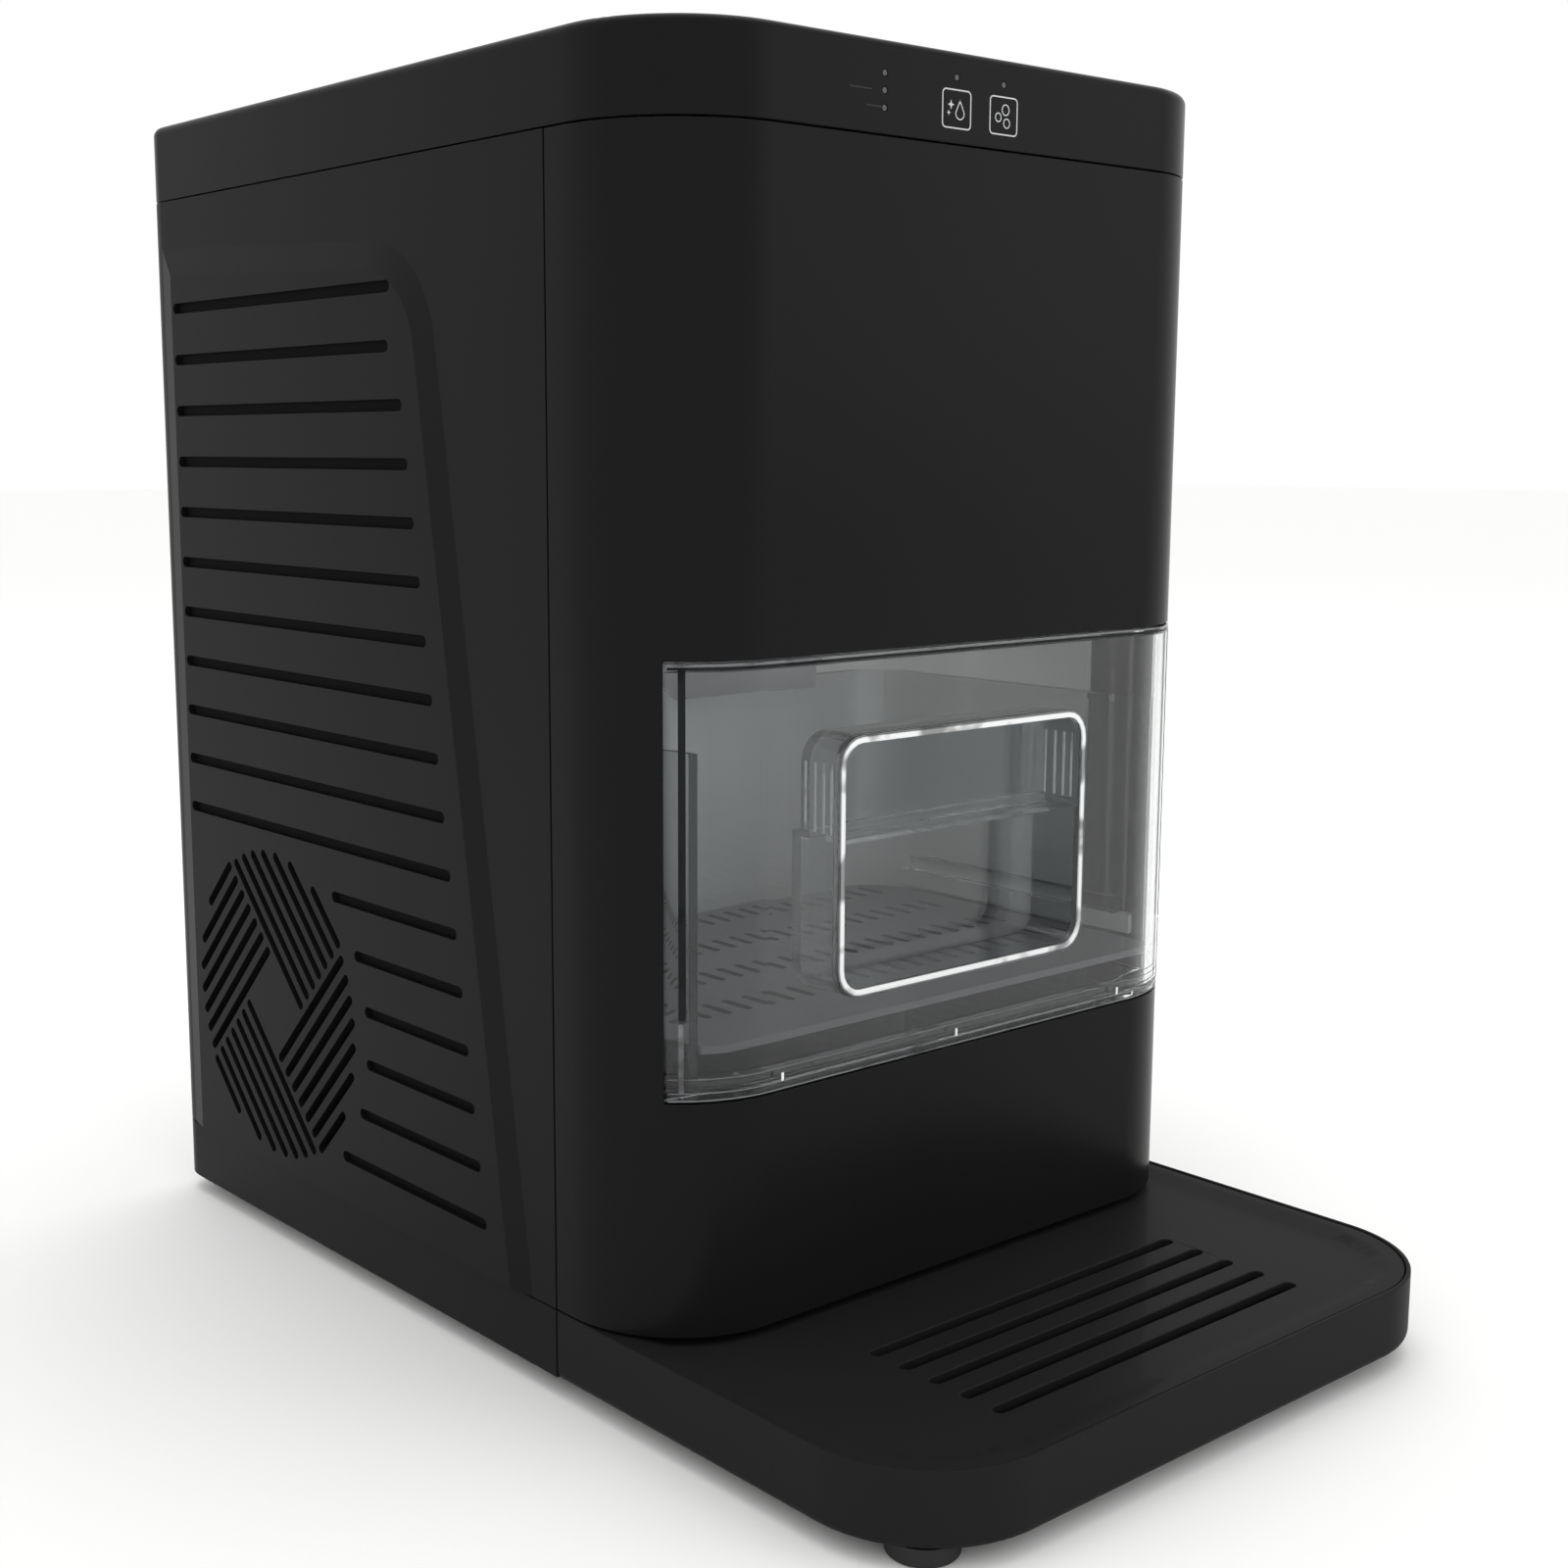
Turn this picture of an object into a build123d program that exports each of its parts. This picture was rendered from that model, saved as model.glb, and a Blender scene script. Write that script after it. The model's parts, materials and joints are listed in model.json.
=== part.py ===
from build123d import *
from math import cos, sin, sqrt, pi
import os

# Countertop nugget ice maker. Millimetres, +Z up, front towards -Y, left side towards -X.
# Origin: centre of the footprint, on the surface that the feet stand on.

# ---- outside sizes ----
WIDTH = 265.0            # across the side panels, without their raised fields
BODY_DEPTH = 323.0       # front panel face to rear panel face
BODY_HEIGHT = 424.0      # bottom of the base to the top of the cover
TRAY_REACH = 112.0       # how far the drip tray stands out in front
FOOT_DROP = 6.0
BASE_BAND = 24.3         # height of the base and tray below the seam
COVER_BAND = 28.6        # height of the top cover above its seam
PANEL_DEPTH = 54.2       # front panel, from its face back to the side seam
FRONT_RADIUS = 44.0
REAR_RADIUS = 15.0
REAR_WRAP = 24.0         # how far each side panel wraps onto the back
WALL = 2.5
SEAM = 0.5               # gap between neighbouring covers
EDGE_ROUND = 3.5
TUB_ROUND = 10.0         # underside of the base, along the back
TUB_FLOOR = 3.0
COVER_TOP = 4.0          # thickness of the cover's top plate

# ---- fits ----
RUN = 0.05               # radial clearance of a shaft in its bearing
SLIP = 0.6               # gap around pieces that slide
BOND = 0.05              # gap inside a glued or clipped joint
RAIL_GAP = 0.3           # drawer runner above its rail

# ---- window, drawer and handle ----
WINDOW_SILL = 100.9      # above the base
WINDOW_HEIGHT = 137.0
WINDOW_SIDE = 12.5       # outer side of the body to the window's edge
FLANGE_DEPTH = 50.0      # panel face back to the cavity liner
DRAWER_SKIN = 4.0
BIN_DEPTH = 158.0
BIN_WALL = 2.5
BIN_CORNER = 22.0
BIN_SIDE_GAP = 6.0       # bin to cavity wall, taken up by the runners and rails
CAVITY_DEPTH = 168.0
LINER_WALL = 2.0
INSULATION_BACK = 10.0
INSULATION_SILL = 6.0
HANDLE_WIDTH = 119.4
HANDLE_SILL = 125.8      # above the base
HANDLE_HEIGHT = 85.5
HANDLE_CORNER = 10.0
HANDLE_DEPTH = 21.0
HANDLE_STEP = 50.9       # height of the deeper lower part of the handle pocket
GRIP_SKIN = 3.0
GRID_SKIN = 2.5
RAIL_FRONT = 22.0        # front end of the rails behind the panel face
RAIL_DEPTH = 122.0
RAIL_RISE = 25.0         # top of the rails above the window sill
RAIL_HEIGHT = 7.0

# ---- side panels ----
FIELD_PROUD = 2.0        # raised field on each side panel
FIELD_BEVEL = 10.0
FIELD_DROP_REAR = 17.8   # below the cover seam, at the back
FIELD_DROP_FRONT = 27.3
FIELD_HEAD = 66.2        # behind the front seam, at the top
FIELD_TOE = 13.0         # behind the front seam, at the base seam
FIELD_CORNER = 40.0
GROOVE_ROWS = 17
GROOVE_TOP = 41.3        # first groove below the cover seam
GROOVE_BOTTOM = 18.4     # last groove above the base seam
GROOVE_HEIGHT = 4.0
GROOVE_DEPTH = 2.2
GROOVE_MARGIN = 20.8     # groove ends to the edge of the raised field
GROOVE_REAR = 26.6       # groove ends to the back of the body
GRILLE_BACK = 89.4       # grille centre to the back of the body
GRILLE_RISE = 89.9       # grille centre above the base
GRILLE_RADIUS = 59.6
GRILLE_MOAT = 68.0       # grooves stop at this radius from the grille centre
GRILLE_SLOTS = 7
GRILLE_PITCH = 6.8
GRILLE_FIRST = 17.1
GRILLE_REACH = 13.3
GRILLE_SLOT = 3.6

# ---- drip tray ----
TRAY_RIM = 1.6
TRAY_GAP = 0.4
DISH_DEPTH = 1.8
DISH_MARGIN = 5.0
DISH_SLOPE = 7.0
GRILLE_SKIN = 3.4
TRAY_SLOTS = 5
TRAY_SLOT_FIRST = 32.5   # in front of the panel face
TRAY_SLOT_PITCH = 12.8
TRAY_SLOT_LENGTH = 148.8
TRAY_SLOT_WIDTH = 4.6
FOOT_RADIUS = 11.0

# ---- controls ----
ICON_RISE = 10.7         # middle of the touch keys above the cover seam
ICONS_X = (-11.7, 10.1)
DOTS_X = -43.4
DOT_STEP = 5.15
DOT_DROP = 2.7           # lowest indicator below the middle of the keys
KEY_DOT_RISE = 9.6
DOT_RADIUS = 1.0

# ---- ice making ----
AUGER_X = -14.0
GEAR_MODULE = 1.75
GEAR_TEETH = 48
PINION_TEETH = 12
GEAR_FACE = 12.0
SHELF_RISE = 176.0       # middle shelf above the base
SHEET = 1.5
GEARBOX_HEIGHT = 34.0
BARREL_BORE = 15.0
BARREL_WALL = 3.0
BARREL_LENGTH = 112.0
FLIGHT_GAP = 0.3
SHAFT_RADIUS = 6.0
MOTOR_SHAFT = 4.0
COIL_TUBE = 2.8
COIL_PITCH = 8.0
COIL_TURNS = 10
JACKET_RADIUS = 30.5
HEAD_HEIGHT = 16.0
CHUTE_HALF = 36.0
CHUTE_WALL = 2.5
CHUTE_DROP = 25.0        # chute mouth below the cavity ceiling
CHUTE_FRONT = 100.0      # front of the drop, behind the panel face
CHUTE_DEPTH = 50.0

# ---- cooling ----
COMPRESSOR_RADIUS = 56.0
FAN_RADIUS = 48.0
FAN_BLADES = 7
FAN_SHAFT = 2.5
FIN_COUNT = 30
FIN_SKIN = 0.5
CONDENSER_THICK = 22.0
CONDENSER_SIZE = 98.0

# ---- water ----
LID_WIDTH = 84.0
LID_LENGTH = 80.0
LID_SKIN = 2.6
HINGE_RADIUS = 3.0
PIN_RADIUS = 1.25
BASIN_DEPTH = 58.0
HOSE_RADIUS = 5.0
SPOUT_BORE = 5.0

# ---- planes that follow from the sizes ----
HALF = WIDTH / 2
FRONT = (TRAY_REACH - BODY_DEPTH) / 2
REAR = FRONT + BODY_DEPTH
TRAY_FRONT = FRONT - TRAY_REACH
SEAM_Y = FRONT + PANEL_DEPTH
Z_BASE = FOOT_DROP
Z_BAND = Z_BASE + BASE_BAND
Z_TOP = Z_BASE + BODY_HEIGHT
Z_COVER = Z_TOP - COVER_BAND
Z_SILL = Z_BASE + WINDOW_SILL
Z_HEAD = Z_SILL + WINDOW_HEIGHT
WINDOW_HALF = HALF - WINDOW_SIDE
CAVITY_HALF = WINDOW_HALF - LINER_WALL
BIN_HALF = CAVITY_HALF - BIN_SIDE_GAP
LINER_FRONT = FRONT + FLANGE_DEPTH
LINER_REAR = FRONT + CAVITY_DEPTH + LINER_WALL
INSULATION_REAR = LINER_REAR + INSULATION_BACK
Z_MOUTH = Z_HEAD - CHUTE_DROP
Z_BIN = Z_SILL + 4.0
Z_BIN_TOP = Z_MOUTH - 3.0
Z_GRID = Z_BIN + 11.0
Z_HANDLE = Z_BASE + HANDLE_SILL
Z_STEP = Z_HANDLE + HANDLE_STEP
Z_PLATE = Z_BASE + TUB_FLOOR + SHEET
Z_TANK_SHELF = Z_BAND + 2.0
Z_TANK = Z_TANK_SHELF + SHEET
Z_TANK_TOP = Z_SILL - LINER_WALL - INSULATION_SILL - 5.0
TANK_REAR = FRONT + CAVITY_DEPTH - 2.0
Z_SHELF = Z_BASE + SHELF_RISE
Z_BOX = Z_SHELF + SHEET
Z_BARREL = Z_BOX + GEARBOX_HEIGHT
Z_EXTRUDE = Z_BARREL + BARREL_LENGTH
GEAR_RADIUS = GEAR_MODULE * GEAR_TEETH / 2
PINION_RADIUS = GEAR_MODULE * PINION_TEETH / 2
GEAR_CENTRES = GEAR_RADIUS + PINION_RADIUS
BOX_HALF = GEAR_RADIUS + GEAR_MODULE + 5.0
AUGER_Y = INSULATION_REAR + BOX_HALF + 3.0
MOTOR_X = AUGER_X - GEAR_CENTRES
GRILLE_Y = REAR - GRILLE_BACK
GRILLE_Z = Z_BASE + GRILLE_RISE
COMPRESSOR_X = HALF - COMPRESSOR_RADIUS - 13.0
COMPRESSOR_Y = REAR - COMPRESSOR_RADIUS - 13.0
CONDENSER_X = -HALF + WALL + 8.0
FAN_X = CONDENSER_X + CONDENSER_THICK + 3.0
FAN_MOTOR_X = FAN_X + 28.0
DRIER_X = CONDENSER_X + CONDENSER_THICK + 20.0
Z_CAN = Z_PLATE + 14.0
Z_CAN_TOP = Z_CAN + 132.0
Z_PIPE = Z_SHELF - 10.0
Z_CONDENSER = GRILLE_Z + CONDENSER_SIZE / 2 + 2
SUPPLY_X = AUGER_X + BOX_HALF + 21.0
SUPPLY_Y = INSULATION_REAR + 9.0
CAPILLARY_X = AUGER_X + BOX_HALF + 7.0
CAPILLARY_Y = INSULATION_REAR + 34.0
SUCTION_X = AUGER_X + BOX_HALF + 15.0
COIL_REACH = BARREL_BORE + BARREL_WALL + 2 * COIL_TUBE + 0.5
LID_X = HALF - 62.5
LID_REAR = REAR - 38.0
HINGE_Z = Z_TOP - HINGE_RADIUS
FILL_X = HALF - 28.5
FILL_Y = INSULATION_REAR + 16.0
DRAIN_X = -62.0
DRAIN_Z = Z_BASE + 14.5
PUMP_X = -30.0
PUMP_Y = INSULATION_REAR + 20.0
FLOAT_X = HALF - 62.0
FLOAT_Y = FRONT + 70.0
ICON_Z = Z_COVER + ICON_RISE


# ---- helpers ----
def block(x0, x1, y0, y1, z0, z1):
    """A box between two corners."""
    centre = Pos((x0 + x1) / 2, (y0 + y1) / 2, (z0 + z1) / 2)
    return centre * Box(abs(x1 - x0), abs(y1 - y0), abs(z1 - z0))


def rounded(points, radii):
    """A closed polygon with each corner rounded by its own radius."""
    face = make_face(Polyline(*points, close=True))
    for point, radius in zip(points, radii):
        if radius > 0:
            corner = face.vertices().sort_by_distance(point)[0]
            face = fillet(corner, radius)
    return face


def body_outline(inset=0.0):
    """The plan of the body, pulled in by inset."""
    x = HALF - inset
    points = [(-x, FRONT + inset), (x, FRONT + inset), (x, REAR - inset), (-x, REAR - inset)]
    front = FRONT_RADIUS - inset
    rear = max(REAR_RADIUS - inset, 0.5)
    return rounded(points, [front, front, rear, rear])


def tray_outline(inset=0.0, rear=SEAM_Y - SEAM / 2):
    """The plan of the drip tray, square where it meets the base."""
    x = HALF - inset
    points = [(-x, TRAY_FRONT + inset), (x, TRAY_FRONT + inset), (x, rear), (-x, rear)]
    return rounded(points, [FRONT_RADIUS - inset, FRONT_RADIUS - inset, 0, 0])


def rect_outline(x0, x1, y0, y1, radius):
    points = [(x0, y0), (x1, y0), (x1, y1), (x0, y1)]
    return rounded(points, [radius] * 4)


def slab(face, z0, z1):
    """A plan face made solid between two heights."""
    return Pos(0, 0, z0) * extrude(face, z1 - z0)


def disc(x, y, z0, z1, radius):
    return Pos(x, y, (z0 + z1) / 2) * Cylinder(radius, z1 - z0)


def rod_y(x, z, y0, y1, radius):
    return Pos(x, (y0 + y1) / 2, z) * Rot(90, 0, 0) * Cylinder(radius, y1 - y0)


def rod_x(y, z, x0, x1, radius):
    return Pos((x0 + x1) / 2, y, z) * Rot(0, 90, 0) * Cylinder(radius, x1 - x0)


def front_slab(face, y0, y1):
    """A face drawn in X and Z, made solid from y0 back to y1."""
    return Pos(0, y1, 0) * Rot(90, 0, 0) * extrude(face, y1 - y0)


def side_slab(face, x0, x1):
    """A face drawn in Y and Z, made solid from x0 to x1."""
    return Plane.YZ.offset(x0) * extrude(face, x1 - x0)


def tube(points, radii, radius):
    """A round tube along straight runs joined by arcs."""
    path = FilletPolyline(*points, radius=radii)
    start = Plane(origin=path @ 0, z_dir=path % 0)
    return sweep(start * Circle(radius), path=path)


def gear_face(teeth, phase):
    """A spur gear's face, its teeth slimmed a little for backlash."""
    root = GEAR_MODULE * (teeth / 2 - 1.2)
    tip = GEAR_MODULE * (teeth / 2 + 0.9)
    step = 2 * pi / teeth
    points = []
    for tooth in range(teeth):
        centre = phase + tooth * step
        for share, radius in ((-0.33, root), (-0.10, tip), (0.10, tip), (0.33, root)):
            angle = centre + share * step
            points.append((radius * cos(angle), radius * sin(angle)))
    return make_face(Polyline(*points, close=True))


# ---- casing ----
def tub_profile(inset):
    """The base seen from the side, its lower rear edge well rounded."""
    rear = REAR - inset
    low = Z_BASE + inset
    points = [(SEAM_Y - 1, low), (rear, low), (rear, Z_BAND + 2), (SEAM_Y - 1, Z_BAND + 2)]
    return side_slab(rounded(points, [0, TUB_ROUND - inset, 0, 0]), -HALF - 1, HALF + 1)


def base_tub():
    outer = slab(body_outline(), Z_BASE, Z_BAND - SEAM / 2)
    keep = block(-HALF, HALF, SEAM_Y + SEAM / 2, REAR, Z_BASE, Z_BAND)
    solid = outer & keep
    low = solid.edges().group_by(Axis.Z)[0]
    solid = chamfer(low, 1.2)
    solid &= tub_profile(0)
    room = slab(body_outline(WALL), Z_BASE + TUB_FLOOR, Z_BAND + 1)
    room &= block(-HALF, HALF, SEAM_Y + SEAM / 2 + WALL, REAR, Z_BASE, Z_BAND + 1)
    room &= tub_profile(WALL)
    solid -= room
    for side in (-1, 1):
        x = side * 60.0
        z = Z_BASE + 12.0
        solid -= block(x - 9, x + 9, SEAM_Y - 1, SEAM_Y + 6, z - 5, z + 5)
    solid -= rod_y(DRAIN_X, DRAIN_Z, REAR - WALL - 2, REAR + 1, SPOUT_BORE + 3.0)
    return solid


def foot(x, y):
    body = disc(x, y, 0, FOOT_DROP, FOOT_RADIUS)
    return fillet(body.edges().group_by(Axis.Z)[0], 1.5)


def base_feet():
    x = HALF - 26.0
    return [foot(sx * x, y) for sx in (-1, 1) for y in (SEAM_Y + 24.0, REAR - 26.0)]


def tray_feet():
    reach = (FRONT_RADIUS - FOOT_RADIUS - 1.5) * 0.7071
    x = HALF - FRONT_RADIUS + reach
    y = TRAY_FRONT + FRONT_RADIUS - reach
    return [foot(side * x, y) for side in (-1, 1)]


def base_plate():
    """Steel plate in the tub, with the welded studs that carry the two shelves."""
    plan = body_outline(WALL + 3.0)
    plate = slab(plan, Z_BASE + TUB_FLOOR, Z_PLATE)
    plate &= block(-HALF, HALF, SEAM_Y + 8.0, REAR - TUB_ROUND - 1.0, 0, Z_BAND)
    for side in (-1, 1):
        x = side * (HALF - 32.0)
        plate += disc(x, SEAM_Y + 14, Z_PLATE - 1, Z_TANK_SHELF, 5.0)
        plate += disc(x, TANK_REAR - 4, Z_PLATE - 1, Z_TANK_SHELF, 5.0)
        plate += disc(side * (HALF - 9.5), REAR - 18, Z_PLATE - 1, Z_SHELF, 4.0)
    return plate


def window_frame():
    """The flange that lines the window opening, back to the cavity liner."""
    ledge = 2.0
    outer = block(-WINDOW_HALF - ledge, WINDOW_HALF + ledge, FRONT, LINER_FRONT - 0.5,
                  Z_SILL - ledge, Z_HEAD + ledge)
    return outer & slab(body_outline(), Z_SILL - ledge, Z_HEAD + ledge)


def front_panel():
    z0 = Z_BAND + SEAM / 2
    z1 = Z_COVER - SEAM / 2
    solid = slab(body_outline(), z0, z1) - slab(body_outline(WALL), z0 - 1, z1 + 1)
    solid &= block(-HALF, HALF, FRONT, SEAM_Y - SEAM / 2, z0, z1)
    solid += window_frame()
    solid -= block(-WINDOW_HALF, WINDOW_HALF, FRONT - 1, LINER_FRONT + 1, Z_SILL, Z_HEAD)
    return solid


def field_edge():
    """Corners of the raised field in Y and Z: foot, head, top rear and bottom rear."""
    slope = (FIELD_HEAD - FIELD_TOE) / (Z_COVER - FIELD_DROP_FRONT - Z_BAND)
    foot_point = (SEAM_Y + FIELD_TOE - slope * BASE_BAND, Z_BASE)
    head = (SEAM_Y + FIELD_HEAD, Z_COVER - FIELD_DROP_FRONT)
    top_rear = (REAR - REAR_RADIUS, Z_COVER - FIELD_DROP_REAR)
    low_rear = (REAR - REAR_RADIUS, Z_BASE)
    return foot_point, head, top_rear, low_rear


def raised_field():
    """The raised field of a side panel, with a wide chamfer round its front, top and back."""
    outline = rounded(field_edge(), [0, FIELD_CORNER, 0, 0])
    field = side_slab(outline, -HALF - FIELD_PROUD, -HALF + 0.01)
    face = field.faces().sort_by(Axis.X)[0]
    shown = [edge for edge in face.edges() if edge.center().Z > Z_BASE + 1]
    return chamfer(shown, FIELD_BEVEL, FIELD_PROUD, reference=face)


def groove_front(z):
    """Where a groove at height z ends, towards the front."""
    foot_point, head, top_rear, low_rear = field_edge()
    slope = (head[0] - foot_point[0]) / (head[1] - foot_point[1])
    line = head[0] + (z - head[1]) * slope + GROOVE_MARGIN
    radius = FIELD_CORNER - GROOVE_MARGIN
    centre_y = head[0] + FIELD_CORNER * 0.95
    centre_z = head[1] - FIELD_CORNER * 0.95
    rise = z - centre_z
    if 0 < rise < radius:
        return max(line, centre_y - sqrt(radius ** 2 - rise ** 2) + 1)
    return line


def groove(y0, y1, z):
    middle = (y0 + y1) / 2
    return side_slab(Pos(middle, z) * SlotOverall(y1 - y0, GROOVE_HEIGHT),
                     -HALF - FIELD_PROUD - 1, -HALF - FIELD_PROUD + GROOVE_DEPTH)


def groove_set():
    top = Z_COVER - GROOVE_TOP
    pitch = (top - Z_BAND - GROOVE_BOTTOM) / (GROOVE_ROWS - 1)
    cuts = []
    for row in range(GROOVE_ROWS):
        z = top - row * pitch
        rear = REAR - GROOVE_REAR
        rise = abs(z - GRILLE_Z)
        if rise < GRILLE_MOAT:
            rear = GRILLE_Y - sqrt(GRILLE_MOAT ** 2 - rise ** 2)
        rear = min(rear, REAR - GROOVE_REAR)
        cuts.append(groove(groove_front(z), rear, z))
    return cuts


def grille_slots():
    """Four groups of parallel slots, each group square to the next, round a plain hub."""
    cuts = []
    for quarter in range(4):
        for row in range(GRILLE_SLOTS):
            out = GRILLE_FIRST + row * GRILLE_PITCH
            far = -sqrt(GRILLE_RADIUS ** 2 - out ** 2)
            length = GRILLE_REACH - far
            slot = Pos(out, (GRILLE_REACH + far) / 2) * Rot(0, 0, 90) * SlotOverall(length, GRILLE_SLOT)
            slot = Pos(GRILLE_Y, GRILLE_Z) * Rot(0, 0, 45 + 90 * quarter) * slot
            cuts.append(side_slab(slot, -HALF - FIELD_PROUD - 1, -HALF + WALL + 1))
    return cuts


def left_side_panel():
    z0 = Z_BAND + SEAM / 2
    z1 = Z_COVER - SEAM / 2
    solid = slab(body_outline(), z0, z1) - slab(body_outline(WALL), z0 - 1, z1 + 1)
    solid &= block(-HALF, -HALF + REAR_WRAP, SEAM_Y + SEAM / 2, REAR, z0, z1)
    solid += raised_field() & block(-HALF - FIELD_PROUD - 1, -HALF + 1, SEAM_Y, REAR, z0, z1)
    solid -= groove_set()
    solid -= grille_slots()
    ring = Pos(-HALF + WALL + 1, GRILLE_Y, GRILLE_Z) * Rot(0, 90, 0) * Cylinder(44.0, 2.0)
    ring -= Pos(-HALF + WALL + 1, GRILLE_Y, GRILLE_Z) * Rot(0, 90, 0) * Cylinder(40.5, 3.0)
    return solid + ring


def right_side_panel():
    return mirror(left_side_panel(), about=Plane.YZ)


def rear_panel():
    half = HALF - REAR_WRAP - SEAM
    z0 = Z_BAND + SEAM / 2
    z1 = Z_COVER - SEAM / 2
    solid = block(-half, half, REAR - WALL, REAR, z0, z1)
    for column in (-1, 1):
        for row in range(9):
            z = Z_BAND + 190.0 + row * 14.0
            slot = Pos(column * half / 2, z) * SlotOverall(half * 0.72, 5.0)
            solid -= front_slab(slot, REAR - WALL - 1, REAR + 1)
    solid -= block(-54.2, -5.8, REAR - WALL - 1, REAR + 1, Z_BAND + 25.8, Z_BAND + 54.2)
    for x, z in screw_places():
        solid -= rod_y(x, z, REAR - WALL - 1, REAR + 1, 1.6)
        solid -= rod_y(x, z, REAR - 1.3, REAR + 1, 3.5)
    return solid


def screw_places():
    x = HALF - REAR_WRAP - 9.0
    rows = (Z_BAND + 10.0, (Z_BAND + Z_COVER) / 2, Z_COVER - 10.0)
    return [(side * x, z) for side in (-1, 1) for z in rows]


def case_screws():
    screws = []
    for x, z in screw_places():
        head = rod_y(x, z, REAR - 1.3, REAR - 0.2, 3.2)
        shank = rod_y(x, z, REAR - 9.0, REAR - 1.3, 1.5)
        drive = rod_y(x, z, REAR - 0.9, REAR, 1.2)
        screws.append(head + shank - drive)
    return screws


def lid_hole():
    """Plan of the refill opening in the cover."""
    x0 = LID_X - LID_WIDTH / 2
    x1 = LID_X + LID_WIDTH / 2
    return rect_outline(x0, x1, LID_REAR - LID_LENGTH, LID_REAR + HINGE_RADIUS + 0.8, 2.0)


def top_cover():
    z0 = Z_COVER + SEAM / 2
    solid = slab(body_outline(), z0, Z_TOP)
    solid = fillet(solid.edges().group_by(Axis.Z)[-1], EDGE_ROUND)
    solid -= slab(body_outline(WALL), z0 - 1, Z_TOP - COVER_TOP)
    solid -= slab(lid_hole(), Z_TOP - COVER_TOP - 1, Z_TOP + 1)
    notch = Pos(LID_X, LID_REAR - LID_LENGTH - 2.0, Z_TOP) * Sphere(9.0)
    solid -= notch & block(-HALF, HALF, FRONT, REAR, Z_TOP - 2.4, Z_TOP + 10)
    solid += hinge_lugs()
    bore = LID_WIDTH / 2 + 5.0
    solid -= rod_x(LID_REAR, HINGE_Z, LID_X - bore, LID_X + bore, PIN_RADIUS)
    for x, z in dot_places():
        solid -= rod_y(x, z, FRONT - 1, FRONT + WALL + 1, DOT_RADIUS)
    return solid


def hinge_lugs():
    """Two lugs below the cover plate that hold the hinge pins."""
    lugs = []
    for side in (-1, 1):
        x = LID_X + side * (LID_WIDTH / 2 + 2.5)
        lug = block(x - 2.5, x + 2.5, LID_REAR - 4, LID_REAR + 5, HINGE_Z - 4, Z_TOP - COVER_TOP + 0.5)
        lugs.append(lug)
    return lugs


def dot_places():
    """Indicator lights: three in a column and one above each touch key."""
    column = [(DOTS_X, ICON_Z - DOT_DROP + DOT_STEP * k) for k in range(3)]
    return column + [(x, ICON_Z + KEY_DOT_RISE) for x in ICONS_X]


# ---- controls ----
def light_pipes():
    return [rod_y(x, z, FRONT + 0.15, FRONT + 12.0, DOT_RADIUS - 0.1) for x, z in dot_places()]


def control_board():
    """Board with its parts, and the two sensing pads that press on the back of the cover."""
    board = block(-62, 42, FRONT + 12.0, FRONT + 13.6, Z_COVER + 1.5, Z_TOP - COVER_TOP - 1.0)
    for x in (-50, -25, 25):
        board += block(x - 5, x + 5, FRONT + 13.6, FRONT + 16.6, Z_COVER + 6, Z_COVER + 14)
    board += block(-5, 12, FRONT + 13.6, FRONT + 22.0, Z_COVER + 5, Z_COVER + 12)
    for x in ICONS_X:
        board += rod_y(x, ICON_Z, FRONT + WALL, FRONT + 12.0, 5.0)
    return board


def power_board():
    x = -HALF + 14.0
    board = block(x, x + 1.6, AUGER_Y - 40, AUGER_Y + 50, Z_BOX + 4, Z_BOX + 94)
    for y, z, size in ((-25, 25, 16), (5, 30, 22), (32, 24, 14), (-20, 68, 20), (22, 70, 18)):
        base_y = AUGER_Y + y
        base_z = Z_BOX + 4 + z
        board += block(x + 1.6, x + 16, base_y - size / 2, base_y + size / 2, base_z - 8, base_z + 8)
    board += block(x - 2, x + 10, AUGER_Y - 40, AUGER_Y - 30, Z_BOX, Z_BOX + 4)
    board += block(x - 2, x + 10, AUGER_Y + 40, AUGER_Y + 50, Z_BOX, Z_BOX + 4)
    return board


def power_inlet():
    x0, x1 = -54.0, -6.0
    z0, z1 = Z_BAND + 26.0, Z_BAND + 54.0
    solid = block(x0, x1, REAR - 26, REAR - 0.4, z0, z1)
    solid -= block(x0 + 10, x1 - 10, REAR - 18, REAR + 1, z0 + 6, z1 - 6)
    for x in (-37, -30, -23):
        solid += block(x - 1, x + 1, REAR - 19, REAR - 6, z0 + 11, z1 - 11)
    return solid


# ---- ice drawer ----
def handle_opening(margin):
    """The handle's outline in X and Z, grown by margin."""
    half = HANDLE_WIDTH / 2 + margin
    z0 = Z_HANDLE - margin
    z1 = Z_HANDLE + HANDLE_HEIGHT + margin
    return rect_outline(-half, half, z0, z1, HANDLE_CORNER + margin)


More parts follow.
